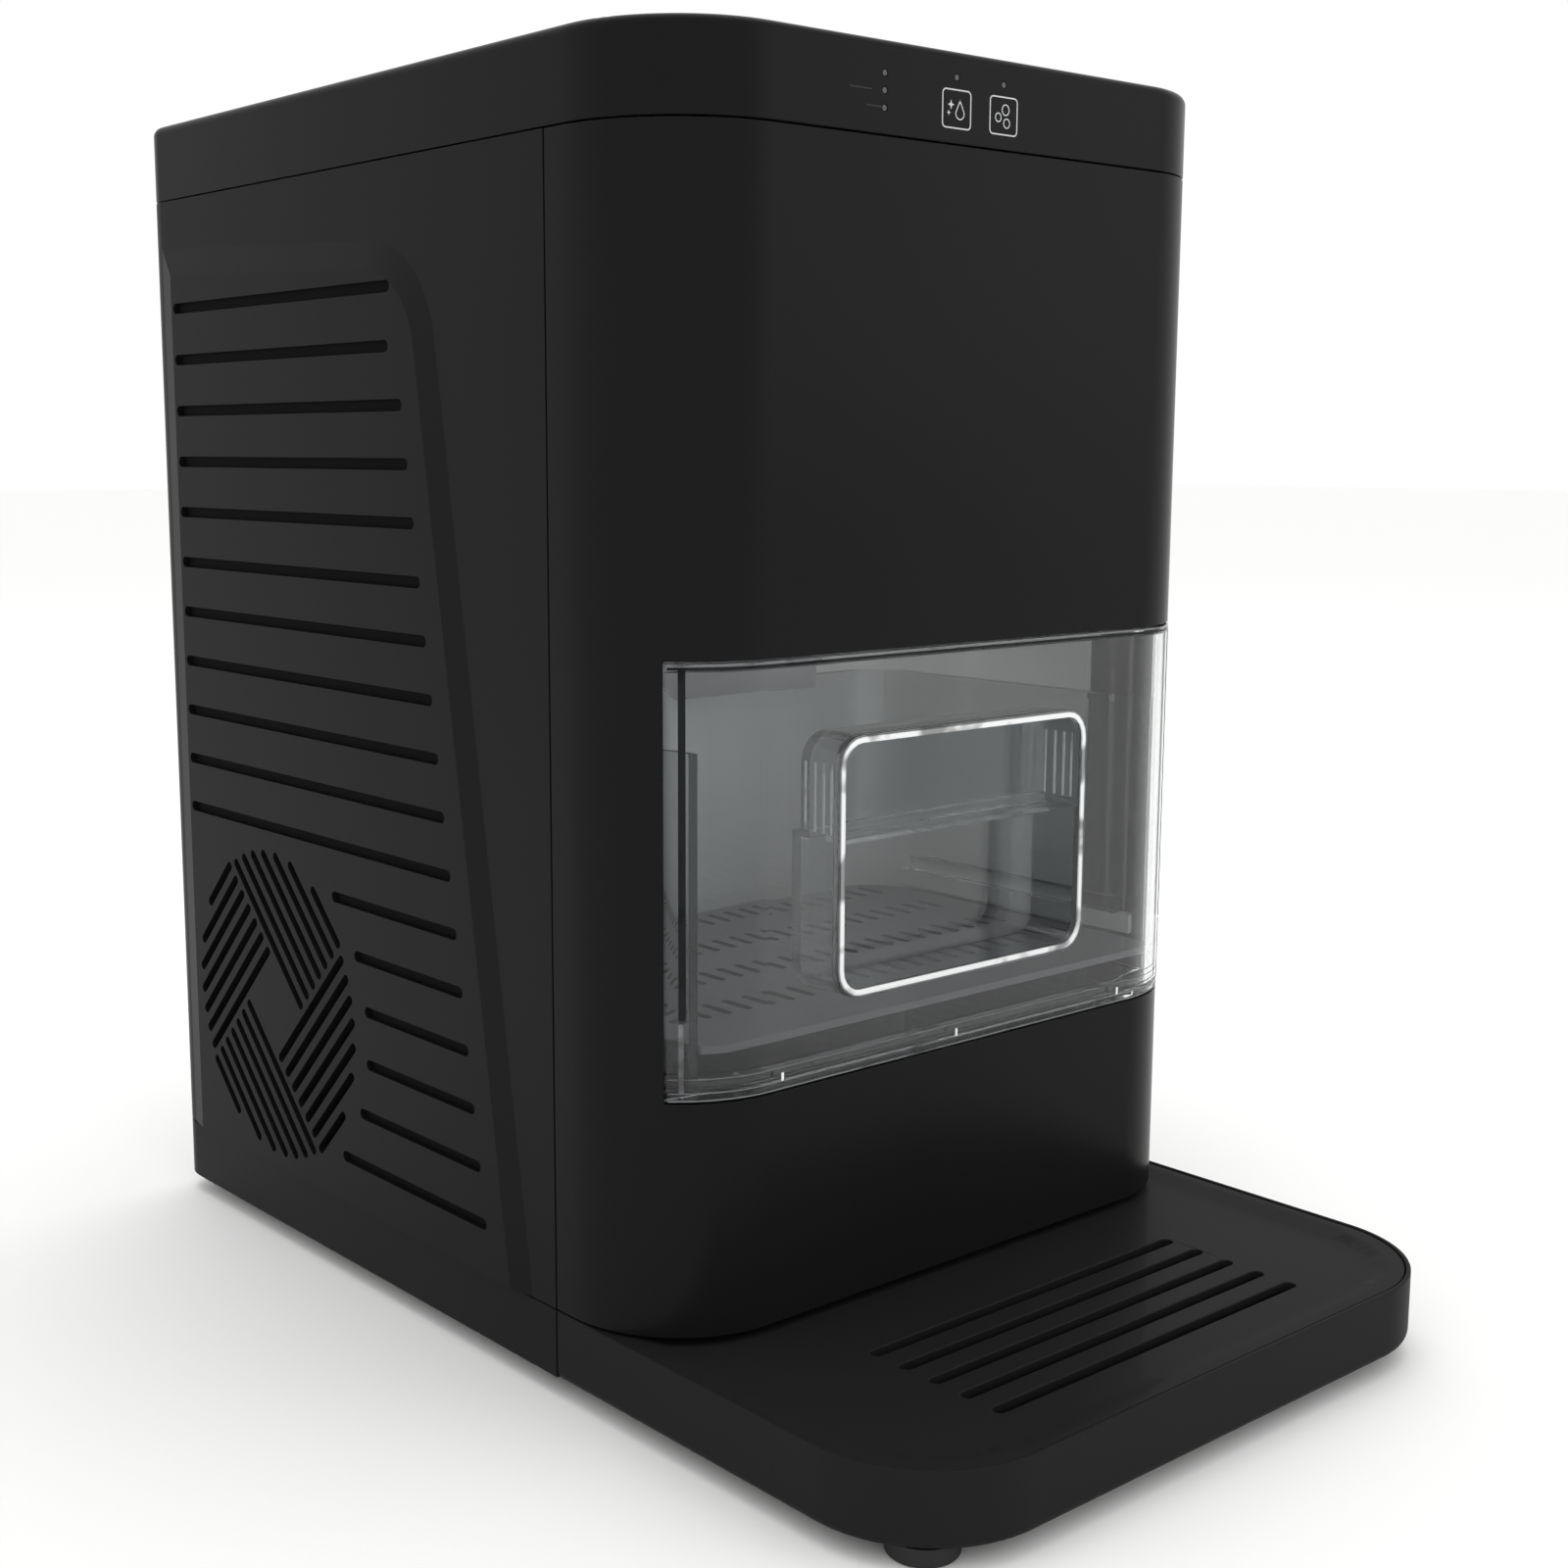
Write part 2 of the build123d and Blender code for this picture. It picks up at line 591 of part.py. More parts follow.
def drawer_front():
    half = WINDOW_HALF - SLIP
    z0 = Z_SILL + SLIP
    z1 = Z_HEAD - SLIP
    solid = slab(body_outline(), z0, z1) - slab(body_outline(DRAWER_SKIN), z0 - 1, z1 + 1)
    solid &= block(-half, half, FRONT, FRONT + 30, z0, z1)
    lip = slab(body_outline(DRAWER_SKIN - 0.2), z0, z1) - slab(body_outline(DRAWER_SKIN + 9), z0, z1)
    lip &= block(-half, half, FRONT, FRONT + 16, z0, z1)
    lip -= block(-half, half, FRONT, FRONT + 30, z0 + 2.6, z1 - 2.6)
    solid += lip
    for x in (-88.6, -9.3, 75.5):
        solid += block(x - 5, x + 5, FRONT + 6, FRONT + 13, z0 + 2.4, z0 + 3.4)
    solid -= front_slab(handle_opening(BOND), FRONT - 1, FRONT + DRAWER_SKIN + 10)
    return solid


def handle_pocket():
    skin = BIN_WALL
    rear_low = FRONT + HANDLE_DEPTH + skin
    rear_high = rear_low - 4.0
    full = handle_opening(0)
    room = handle_opening(-skin)
    solid = front_slab(full, FRONT, rear_high)
    deep = front_slab(full, FRONT, rear_low) & block(-HALF, HALF, FRONT, REAR, 0, Z_STEP + skin)
    solid += deep
    solid -= front_slab(room, FRONT - 1, rear_high - skin)
    deep_room = front_slab(room, FRONT - 1, rear_low - skin)
    return solid - (deep_room & block(-HALF, HALF, FRONT - 2, REAR, 0, Z_STEP))


def grip_plate():
    """The plate that fingers curl behind, with a turned lip along its lower edge."""
    room = handle_opening(-BIN_WALL - BOND)
    plate = front_slab(room, FRONT, FRONT + GRIP_SKIN)
    lip = front_slab(room, FRONT, FRONT + 9.0) & block(-HALF, HALF, FRONT, REAR, Z_STEP, Z_STEP + 2.5)
    return (plate & block(-HALF, HALF, FRONT, REAR, Z_STEP, Z_TOP)) + lip


def bin_plan(inset):
    """Plan of the bin: its sides run forward until they meet the drawer's front."""
    half = BIN_HALF - inset
    rear = FRONT + BIN_DEPTH - inset
    corner = BIN_CORNER - inset
    plan = rounded([(-half, FRONT), (half, FRONT), (half, rear), (-half, rear)], [0, 0, corner, corner])
    return plan & body_outline(DRAWER_SKIN + BOND)


def runner(side):
    """The flange along one side of the bin that slides on a rail."""
    z = Z_SILL + RAIL_RISE
    outer = CAVITY_HALF - SLIP
    return block(side * (BIN_HALF - 0.5), side * outer, FRONT + 28, FRONT + BIN_DEPTH - BIN_CORNER, z, z + 6)


def drawer_bin():
    solid = slab(bin_plan(0), Z_BIN, Z_BIN_TOP)
    solid -= slab(bin_plan(BIN_WALL), Z_BIN + BIN_WALL, Z_BIN_TOP + 1)
    rim = slab(bin_plan(0), Z_BIN_TOP - 2.5, Z_BIN_TOP) - slab(bin_plan(5.0), Z_BIN, Z_BIN_TOP + 1)
    solid += rim & block(-HALF, HALF, FRONT + 30, REAR, 0, Z_TOP)
    for side in (-1, 1):
        solid += runner(side)
    return solid


def drain_grid():
    plan = bin_plan(BIN_WALL + 0.8)
    solid = slab(plan, Z_GRID, Z_GRID + GRID_SKIN)
    solid &= block(-HALF, HALF, FRONT + DRAWER_SKIN + 2, REAR, 0, Z_TOP)
    half = BIN_HALF - 18.0
    columns = 22
    holes = Sketch()
    for row in range(4):
        for column in range(columns):
            x = -half + 2 * half * column / (columns - 1)
            y = FRONT + BIN_DEPTH - 16.0 - row * 34.0
            holes += Pos(x, y) * Rot(0, 0, 90) * SlotOverall(14.0, 3.4)
    solid -= slab(holes, Z_GRID - 1, Z_GRID + GRID_SKIN + 1)
    for x in (-BIN_HALF + 14, 0, BIN_HALF - 14):
        for y in (FRONT + 34, FRONT + BIN_DEPTH - 31):
            solid += disc(x, y, Z_BIN + BIN_WALL, Z_GRID, 3.0)
    return solid


# ---- cavity ----
def rail(side):
    """The ledge along one side of the cavity that carries a runner."""
    z = Z_SILL + RAIL_RISE - RAIL_GAP
    y0 = FRONT + RAIL_FRONT
    free = block(side * (BIN_HALF + 1.5), side * CAVITY_HALF, y0, y0 + RAIL_DEPTH, z - RAIL_HEIGHT, z)
    bonded = block(side * CAVITY_HALF, side * (CAVITY_HALF + 0.5), LINER_FRONT + 3.0, y0 + RAIL_DEPTH,
                   z - RAIL_HEIGHT, z)
    return free + bonded


def cavity_liner():
    skin = LINER_WALL
    outer = rounded([(-CAVITY_HALF - skin, LINER_FRONT), (CAVITY_HALF + skin, LINER_FRONT),
                     (CAVITY_HALF + skin, LINER_REAR), (-CAVITY_HALF - skin, LINER_REAR)],
                    [0, 0, BIN_CORNER + skin, BIN_CORNER + skin])
    inner = rounded([(-CAVITY_HALF, LINER_FRONT - 5), (CAVITY_HALF, LINER_FRONT - 5),
                     (CAVITY_HALF, LINER_REAR - skin), (-CAVITY_HALF, LINER_REAR - skin)],
                    [0, 0, BIN_CORNER, BIN_CORNER])
    solid = slab(outer, Z_SILL - skin, Z_HEAD + skin) - slab(inner, Z_SILL, Z_HEAD)
    for side in (-1, 1):
        solid += rail(side)
    return solid - chute_passage(BOND)


def chute_passage(margin):
    """The way down through the cavity's ceiling for the ice chute."""
    x = CHUTE_HALF + margin
    y0 = FRONT + CHUTE_FRONT - margin
    y1 = FRONT + CHUTE_FRONT + CHUTE_DEPTH + margin
    return block(AUGER_X - x, AUGER_X + x, y0, y1, Z_HEAD - 1, Z_HEAD + 60)


def cavity_insulation():
    skin = LINER_WALL + BOND
    plan = body_outline(WALL + 1.5)
    solid = slab(plan, Z_SILL - LINER_WALL - INSULATION_SILL, Z_HEAD + LINER_WALL + INSULATION_BACK)
    solid &= block(-HALF, HALF, LINER_FRONT + 1.5, INSULATION_REAR, 0, Z_TOP)
    hollow = rounded([(-CAVITY_HALF - skin, FRONT), (CAVITY_HALF + skin, FRONT),
                      (CAVITY_HALF + skin, LINER_REAR + BOND), (-CAVITY_HALF - skin, LINER_REAR + BOND)],
                     [0, 0, BIN_CORNER + skin, BIN_CORNER + skin])
    solid -= slab(hollow, Z_SILL - skin, Z_HEAD + skin)
    return solid - chute_passage(BOND)


def ice_chute():
    """Hood over the extruder head, a slope forward, and the drop into the bin."""
    y_front = FRONT + CHUTE_FRONT
    y_back = y_front + CHUTE_DEPTH
    hood = Z_EXTRUDE + HEAD_HEIGHT
    points = [(AUGER_Y + 32, hood - 6), (AUGER_Y + 32, hood + 26), (AUGER_Y - 28, hood + 26),
              (y_front, hood - 40), (y_front, Z_MOUTH), (y_back, Z_MOUTH),
              (y_back, Z_HEAD + 44), (AUGER_Y - 32, hood - 6)]
    outer = make_face(Polyline(*points, close=True))
    inner = offset(outer, -CHUTE_WALL)
    solid = side_slab(outer, AUGER_X - CHUTE_HALF, AUGER_X + CHUTE_HALF)
    solid -= side_slab(inner, AUGER_X - CHUTE_HALF + CHUTE_WALL, AUGER_X + CHUTE_HALF - CHUTE_WALL)
    solid -= block(AUGER_X - CHUTE_HALF + CHUTE_WALL, AUGER_X + CHUTE_HALF - CHUTE_WALL,
                   y_front + CHUTE_WALL, y_back - CHUTE_WALL, Z_MOUTH - 1, Z_MOUTH + 12)
    return solid - disc(AUGER_X, AUGER_Y, hood - 9, hood - 1, 26.0 + BOND)


def bin_sensor():
    """Level sensor at the cavity's ceiling, beside the chute."""
    x = AUGER_X + CHUTE_HALF + 14
    y = FRONT + CHUTE_FRONT + CHUTE_DEPTH / 2
    return block(x - 8, x + 8, y - 6, y + 6, Z_HEAD - 9, Z_HEAD) + disc(x, y, Z_HEAD - 12, Z_HEAD - 9, 3)


# ---- inner frame ----
def tank_shelf():
    plate = slab(body_outline(WALL + 2.0), Z_TANK_SHELF, Z_TANK)
    return plate & block(-HALF, HALF, FRONT + 5, TANK_REAR + 6, 0, Z_TOP)


def mid_shelf():
    plate = slab(body_outline(WALL + 2.0), Z_SHELF, Z_BOX)
    plate &= block(-HALF, HALF, INSULATION_REAR + 0.5, REAR, 0, Z_TOP)
    plate -= block(FILL_X - 9, HALF, INSULATION_REAR, FILL_Y + 9, 0, Z_TOP)
    plate -= disc(SUPPLY_X, SUPPLY_Y, 0, Z_TOP, 6.0)
    plate -= disc(CAPILLARY_X, CAPILLARY_Y, 0, Z_TOP, 4.0)
    return plate - disc(SUCTION_X, AUGER_Y, 0, Z_TOP, 6.0)


# ---- auger and drive ----
def box_plan(inset):
    x0 = MOTOR_X - PINION_RADIUS - 10.0 + inset
    x1 = AUGER_X + BOX_HALF - inset
    return rect_outline(x0, x1, AUGER_Y - BOX_HALF + inset, AUGER_Y + BOX_HALF - inset, 14.0 - inset)


def gearbox_tray():
    solid = slab(box_plan(0), Z_BOX, Z_BOX + 20.0) - slab(box_plan(3.0), Z_BOX + 3.0, Z_BOX + 21.0)
    solid += disc(AUGER_X, AUGER_Y, Z_BOX + 2.5, Z_BOX + 5.0, 9.0)
    return solid - disc(AUGER_X, AUGER_Y, Z_BOX + 1.0, Z_BOX + 6.0, 4.0 + RUN)


def gearbox_cover():
    z0 = Z_BOX + 20.0
    solid = slab(box_plan(0), z0, Z_BARREL) - slab(box_plan(3.0), z0 - 1, Z_BARREL - 5.0)
    solid += disc(AUGER_X, AUGER_Y, Z_BARREL - 12.0, Z_BARREL, 15.0)
    solid -= disc(AUGER_X, AUGER_Y, z0, Z_BARREL + 1, 10.0)
    return solid - disc(MOTOR_X, AUGER_Y, z0, Z_BARREL + 1, MOTOR_SHAFT + 0.6)


def output_gear():
    z0 = Z_BOX + 6.0
    solid = slab(gear_face(GEAR_TEETH, 0.0), z0, z0 + GEAR_FACE)
    web = disc(0, 0, z0 + 4.0, z0 + GEAR_FACE + 1, GEAR_RADIUS - 8.0)
    web -= disc(0, 0, z0, z0 + GEAR_FACE + 2, SHAFT_RADIUS + 6.0)
    solid -= web
    solid -= disc(0, 0, z0 - 1, z0 + GEAR_FACE + 1, SHAFT_RADIUS)
    return Pos(AUGER_X, AUGER_Y, 0) * solid


def drive_pinion():
    """Pinion and its motor shaft, in mesh with the output gear."""
    z0 = Z_BOX + 6.0
    half_tooth = pi / PINION_TEETH
    solid = slab(gear_face(PINION_TEETH, half_tooth), z0, z0 + GEAR_FACE)
    solid += disc(0, 0, z0 + GEAR_FACE - 1, Z_BARREL + 12.0, MOTOR_SHAFT)
    return Pos(MOTOR_X, AUGER_Y, 0) * solid


def lower_bearing():
    ring = disc(AUGER_X, AUGER_Y, Z_BARREL - 12.0, Z_BARREL, 10.0)
    return ring - disc(AUGER_X, AUGER_Y, Z_BARREL - 13.0, Z_BARREL + 1, SHAFT_RADIUS + RUN)


def auger():
    core = disc(0, 0, Z_BARREL + 2.0, Z_EXTRUDE - 1.0, 8.5)
    core += disc(0, 0, Z_BOX + 5.2, Z_BARREL + 2.0, SHAFT_RADIUS)
    core += disc(0, 0, Z_BOX + 1.5, Z_BOX + 5.2, 4.0)
    core += disc(0, 0, Z_EXTRUDE - 1.0, Z_EXTRUDE + HEAD_HEIGHT + 4.0, 5.0)
    height = BARREL_LENGTH - 14.0
    reach = BARREL_BORE - FLIGHT_GAP
    helix = Helix(pitch=16.0, height=height, radius=8.0)
    start = Plane(origin=helix @ 0, x_dir=(1, 0, 0), z_dir=helix % 0)
    section = start * Pos((reach - 8.0) / 2, 0) * Rectangle(reach - 8.0, 2.2)
    flight = Pos(0, 0, Z_BARREL + 6.0) * sweep(section, path=helix, is_frenet=True)
    return Pos(AUGER_X, AUGER_Y, 0) * (core + flight)


def evaporator_barrel():
    outer = BARREL_BORE + BARREL_WALL
    solid = disc(0, 0, Z_BARREL, Z_EXTRUDE, outer) + disc(0, 0, Z_BARREL, Z_BARREL + 4.0, 26.0)
    solid -= disc(0, 0, Z_BARREL - 1, Z_EXTRUDE + 1, BARREL_BORE)
    solid -= rod_y(0, Z_BARREL + 9.0, -outer - 1, -10.0, 3.0)
    return Pos(AUGER_X, AUGER_Y, 0) * solid


def evaporator_coil():
    radius = BARREL_BORE + BARREL_WALL + COIL_TUBE + 0.1
    helix = Helix(pitch=COIL_PITCH, height=COIL_PITCH * COIL_TURNS, radius=radius)
    start = Plane(origin=helix @ 0, z_dir=helix % 0)
    coil = sweep(start * Circle(COIL_TUBE), path=helix, is_frenet=True)
    return Pos(AUGER_X, AUGER_Y, Z_BARREL + 20.0) * coil


def barrel_jacket():
    """Foam jacket with a slot where the coil's ends leave."""
    room = BARREL_BORE + BARREL_WALL + 2 * COIL_TUBE + 0.4
    z0 = Z_BARREL + 15.0
    z1 = Z_EXTRUDE - 4.0
    ring = disc(0, 0, z0, z1, JACKET_RADIUS) - disc(0, 0, z0 - 1, z1 + 1, room)
    ring -= block(0, JACKET_RADIUS + 1, -5.0, 5.0, z0 - 1, z1 + 1)
    return Pos(AUGER_X, AUGER_Y, 0) * ring


def extruder_head():
    z1 = Z_EXTRUDE + HEAD_HEIGHT
    solid = disc(0, 0, Z_EXTRUDE, z1, 26.0)
    solid -= disc(0, 0, Z_EXTRUDE - 1, z1 + 1, 5.0 + RUN)
    for k in range(8):
        angle = k * pi / 4
        solid -= disc(10.6 * cos(angle), 10.6 * sin(angle), Z_EXTRUDE - 1, z1 + 1, 3.2)
    return Pos(AUGER_X, AUGER_Y, 0) * solid


def auger_motor():
    z1 = Z_BARREL + 64.0
    solid = disc(MOTOR_X, AUGER_Y, Z_BARREL, z1, 20.5)
    solid = fillet(solid.edges().group_by(Axis.Z)[-1], 2.0)
    solid -= disc(MOTOR_X, AUGER_Y, Z_BARREL - 1, Z_BARREL + 14.0, MOTOR_SHAFT + RUN)
    return solid


# ---- cooling circuit ----
def compressor():
    r = COMPRESSOR_RADIUS
    low = disc(0, 0, Z_CAN, Z_CAN + 60, r - 3)
    low = fillet(low.edges().group_by(Axis.Z)[0], 18.0)
    high = disc(0, 0, Z_CAN + 60, Z_CAN_TOP, r - 3)
    high = fillet(high.edges().group_by(Axis.Z)[-1], 26.0)
    can = low + high + disc(0, 0, Z_CAN + 57, Z_CAN + 63, r)
    plate = slab(rect_outline(-r + 2, r - 2, -r + 2, r - 2, 10.0), Z_CAN - 2, Z_CAN + 1)
    can += plate
    for x in (-1, 1):
        for y in (-1, 1):
            can -= disc(x * (r - 10), y * (r - 10), Z_CAN - 3, Z_CAN + 2, 5.0)
    return Pos(COMPRESSOR_X, COMPRESSOR_Y, 0) * can


def compressor_mounts():
    reach = COMPRESSOR_RADIUS - 10
    mounts = []
    for x in (-1, 1):
        for y in (-1, 1):
            mount = disc(0, 0, Z_PLATE, Z_CAN - 2, 8.0) + disc(0, 0, Z_CAN - 2.5, Z_CAN + 4, 4.9)
            mounts.append(Pos(COMPRESSOR_X + x * reach, COMPRESSOR_Y + y * reach, 0) * mount)
    return mounts


def coil_places():
    """Centres of the condenser's tube passes, in X and Z from its middle."""
    rows = 5
    pitch = CONDENSER_SIZE / rows
    return [(x, (row - 2) * pitch) for x in (-5.5, 5.5) for row in range(rows)]


def condenser_fins():
    fin = Rectangle(CONDENSER_THICK, CONDENSER_SIZE)
    for x, z in coil_places():
        fin -= Pos(x, z) * Circle(3.6)
    pitch = CONDENSER_SIZE / (FIN_COUNT - 1)
    middle = CONDENSER_X + CONDENSER_THICK / 2
    fins = []
    for k in range(FIN_COUNT):
        y = GRILLE_Y - CONDENSER_SIZE / 2 + k * pitch
        fins.append(Pos(middle, 0, GRILLE_Z) * front_slab(fin, y - FIN_SKIN / 2, y + FIN_SKIN / 2))
    return fins


def condenser_coil():
    middle = CONDENSER_X + CONDENSER_THICK / 2
    y0 = GRILLE_Y - CONDENSER_SIZE / 2 - 3
    y1 = GRILLE_Y + CONDENSER_SIZE / 2 + 3
    passes = [rod_y(middle + x, GRILLE_Z + z, y0, y1, 3.5) for x, z in coil_places()]
    plates = []
    for y in (y0 - 0.5, y1 - 1.0):
        plates.append(block(CONDENSER_X, CONDENSER_X + CONDENSER_THICK, y, y + 1.5,
                            GRILLE_Z - CONDENSER_SIZE / 2 - 2, GRILLE_Z + CONDENSER_SIZE / 2 + 2))
    solid = plates[0] + plates[1]
    for tube_pass in passes:
        solid += tube_pass
    return solid


def fan_shroud():
    size = CONDENSER_SIZE + 6
    x0 = FAN_X - 2.5
    frame = block(x0, x0 + 24, GRILLE_Y - size / 2, GRILLE_Y + size / 2, GRILLE_Z - size / 2, GRILLE_Z + size / 2)
    frame -= rod_x(GRILLE_Y, GRILLE_Z, x0 - 1, x0 + 25, FAN_RADIUS + 1.5)
    for turn in (45, 135):
        arm = block(x0 + 21, x0 + 24, -FAN_RADIUS - 3, FAN_RADIUS + 3, -3, 3)
        frame += Pos(0, GRILLE_Y, GRILLE_Z) * Rot(turn, 0, 0) * arm
    frame += rod_x(GRILLE_Y, GRILLE_Z, x0 + 21, FAN_MOTOR_X, 14.0)
    return frame - rod_x(GRILLE_Y, GRILLE_Z, x0, FAN_MOTOR_X + 1, FAN_SHAFT + 0.5)


def fan_impeller():
    wide = 16.0
    hub = rod_x(0, 0, 0, wide, 15.0)
    blade = Pos(wide / 2, 0, 31.0) * Rot(0, 0, 38) * Box(1.6, 20.0, 38.0)
    rim = rod_x(0, 0, 0, wide, FAN_RADIUS) - rod_x(0, 0, -1, wide + 1, 13.0)
    blade = blade & rim
    for k in range(FAN_BLADES):
        hub += Rot(360 * k / FAN_BLADES, 0, 0) * blade
    hub -= rod_x(0, 0, -1, wide + 1, FAN_SHAFT)
    return Pos(FAN_X, GRILLE_Y, GRILLE_Z) * hub


def fan_shaft():
    return rod_x(GRILLE_Y, GRILLE_Z, FAN_X - 1, FAN_MOTOR_X + 20, FAN_SHAFT)


def fan_motor():
    body = rod_x(GRILLE_Y, GRILLE_Z, FAN_MOTOR_X, FAN_MOTOR_X + 32, 22.0)
    return body - rod_x(GRILLE_Y, GRILLE_Z, FAN_MOTOR_X - 1, FAN_MOTOR_X + 24, FAN_SHAFT + RUN)


def filter_drier():
    return rod_x(CAPILLARY_Y, Z_PIPE, DRIER_X, DRIER_X + 50, 8.0)


def discharge_tube():
    """Compressor to condenser."""
    x0 = COMPRESSOR_X - 22
    x1 = CONDENSER_X + CONDENSER_THICK / 2
    y = COMPRESSOR_Y + 16
    points = [(x0, y, Z_CAN_TOP), (x0, y, Z_PIPE), (x1, y, Z_PIPE), (x1, y, Z_CONDENSER)]
    return tube(points, [5.0, 5.0], 2.5)


def liquid_tube():
    """Condenser to drier."""
    x = CONDENSER_X + CONDENSER_THICK / 2
    y = CAPILLARY_Y
    return tube([(x, y, Z_CONDENSER), (x, y, Z_PIPE), (DRIER_X, y, Z_PIPE)], [5.0], 2.2)


def capillary_tube():
    """Drier to the lower end of the evaporator coil."""
    z = Z_BARREL + 20.0
    points = [(DRIER_X + 50, CAPILLARY_Y, Z_PIPE), (CAPILLARY_X, CAPILLARY_Y, Z_PIPE),
              (CAPILLARY_X, CAPILLARY_Y, z), (CAPILLARY_X, AUGER_Y, z), (AUGER_X + COIL_REACH, AUGER_Y, z)]
    return tube(points, [8.0, 6.0, 6.0], 1.6)


def suction_tube():
    """Upper end of the evaporator coil back to the compressor."""
    z = Z_BARREL + 20.0 + COIL_PITCH * COIL_TURNS
    points = [(AUGER_X + COIL_REACH, AUGER_Y, z), (SUCTION_X, AUGER_Y, z), (SUCTION_X, AUGER_Y, Z_CAN_TOP)]
    return tube(points, [9.0], COIL_TUBE)


def refrigerant_tubes():
    return [discharge_tube(), liquid_tube(), capillary_tube(), suction_tube()]


# ---- water ----
def tank_plan(inset):
    plan = body_outline(WALL + 6.0 + inset)
    return plan & Pos(0, (FRONT + TANK_REAR - inset) / 2) * Rectangle(WIDTH, TANK_REAR - inset - FRONT)


def water_tank():
    solid = slab(tank_plan(0), Z_TANK, Z_TANK_TOP)
    solid -= slab(tank_plan(2.5), Z_TANK + 2.5, Z_TANK_TOP + 1)
    for x, z in ((FILL_X, Z_TANK_TOP - 14), (PUMP_X, Z_TANK + 9), (DRAIN_X, Z_TANK + 9)):
        solid -= rod_y(x, z, TANK_REAR - 4, TANK_REAR + 1, HOSE_RADIUS - 1)
    return solid


def tank_lid():
    """Lid of the tank, with the float's guide stem under it."""
    solid = slab(tank_plan(0), Z_TANK_TOP, Z_TANK_TOP + 2.5)
    stem = disc(FLOAT_X, FLOAT_Y, Z_TANK + 3.0, Z_TANK_TOP, 3.0)
    return solid + stem


def tank_float():
    z = Z_TANK + 4.0
    ring = disc(FLOAT_X, FLOAT_Y, z, z + 12, 14.0)
    ring = fillet(ring.edges(), 2.0)
    return ring - disc(FLOAT_X, FLOAT_Y, z - 1, z + 13, 3.0 + 0.4)


def water_pump():
    z = Z_TANK + 9
    solid = block(PUMP_X - 20, PUMP_X + 20, PUMP_Y - 15, PUMP_Y + 15, Z_PLATE, Z_PLATE + 46)
    solid += rod_y(PUMP_X, z, TANK_REAR, PUMP_Y - 14, HOSE_RADIUS)
    return solid + disc(PUMP_X + 10, PUMP_Y - 8, Z_PLATE + 45, Z_PLATE + 54, 4.0)


def supply_hose():
    x = PUMP_X + 10
    y = PUMP_Y - 8
    z = Z_BARREL + 9.0
    high = Z_PIPE - 2.0
    end = AUGER_Y - BARREL_BORE - BARREL_WALL
    points = [(x, y, Z_PLATE + 54), (x, y, high), (SUPPLY_X, SUPPLY_Y, high), (SUPPLY_X, SUPPLY_Y, z),
              (AUGER_X, SUPPLY_Y, z), (AUGER_X, end, z)]
    return tube(points, [14.0, 12.0, 12.0, 12.0], 4.0)


def fill_hose():
    z_high = Z_TOP - COVER_TOP - BASIN_DEPTH - 8.0
    z_low = Z_TANK_TOP - 14
    y = LID_REAR - LID_LENGTH + 18
    points = [(FILL_X, y, z_high), (FILL_X, y, z_high - 26), (FILL_X, FILL_Y, z_high - 66),
              (FILL_X, FILL_Y, z_low), (FILL_X, TANK_REAR, z_low)]
    return tube(points, [20.0, 20.0, 15.0], HOSE_RADIUS)


def drain_hose():
    """Hose from the tank down to a stiff spout that ends inside the base's rear wall."""
    z = Z_TANK + 9
    end = REAR - 34
    points = [(DRAIN_X, TANK_REAR, z), (DRAIN_X, TANK_REAR + 22, z), (DRAIN_X, TANK_REAR + 50, DRAIN_Z),
              (DRAIN_X, end, DRAIN_Z)]
    spout = rod_y(DRAIN_X, DRAIN_Z, end - 0.5, REAR - 4, SPOUT_BORE + 3.0)
    spout -= rod_y(DRAIN_X, DRAIN_Z, REAR - 24, REAR - 3, SPOUT_BORE)
    return tube(points, [18.0, 18.0], HOSE_RADIUS) + spout


def drain_cap():
    head = rod_y(DRAIN_X, DRAIN_Z, REAR - 3.9, REAR - 0.5, SPOUT_BORE + 2.5)
    head -= rod_y(DRAIN_X, DRAIN_Z, REAR - 2.2, REAR, SPOUT_BORE + 0.6)
    head += block(DRAIN_X - 5, DRAIN_X + 5, REAR - 2.6, REAR - 0.5, DRAIN_Z - 1, DRAIN_Z + 1)
    return head + rod_y(DRAIN_X, DRAIN_Z, REAR - 22, REAR - 3.5, SPOUT_BORE - RUN)


def refill_lid():
    gap = SLIP
    x0 = LID_X - LID_WIDTH / 2 + gap
    x1 = LID_X + LID_WIDTH / 2 - gap
    plate = rect_outline(x0, x1, LID_REAR - LID_LENGTH + gap, LID_REAR + 0.01, 1.5)
    solid = slab(plate, Z_TOP - LID_SKIN, Z_TOP)
    solid += rod_x(LID_REAR, HINGE_Z, x0, x1, HINGE_RADIUS)
    return solid - rod_x(LID_REAR, HINGE_Z, x0 - 1, x1 + 1, PIN_RADIUS + RUN)


def lid_seal():
    gap = 3.5
    x0 = LID_X - LID_WIDTH / 2 + gap
    x1 = LID_X + LID_WIDTH / 2 - gap
    y0 = LID_REAR - LID_LENGTH + gap
    y1 = LID_REAR - HINGE_RADIUS - 4.0
    ring = rect_outline(x0, x1, y0, y1, 4.0) - rect_outline(x0 + 3, x1 - 3, y0 + 3, y1 - 3, 2.0)
    return slab(ring, Z_TOP - COVER_TOP + 0.2, Z_TOP - LID_SKIN)


def lid_hinge_pins():
    pins = []
    for side in (-1, 1):
        x = LID_X + side * LID_WIDTH / 2
        pins.append(rod_x(LID_REAR, HINGE_Z, x - 8 if side > 0 else x - 5, x + 5 if side > 0 else x + 8, PIN_RADIUS))
    return pins


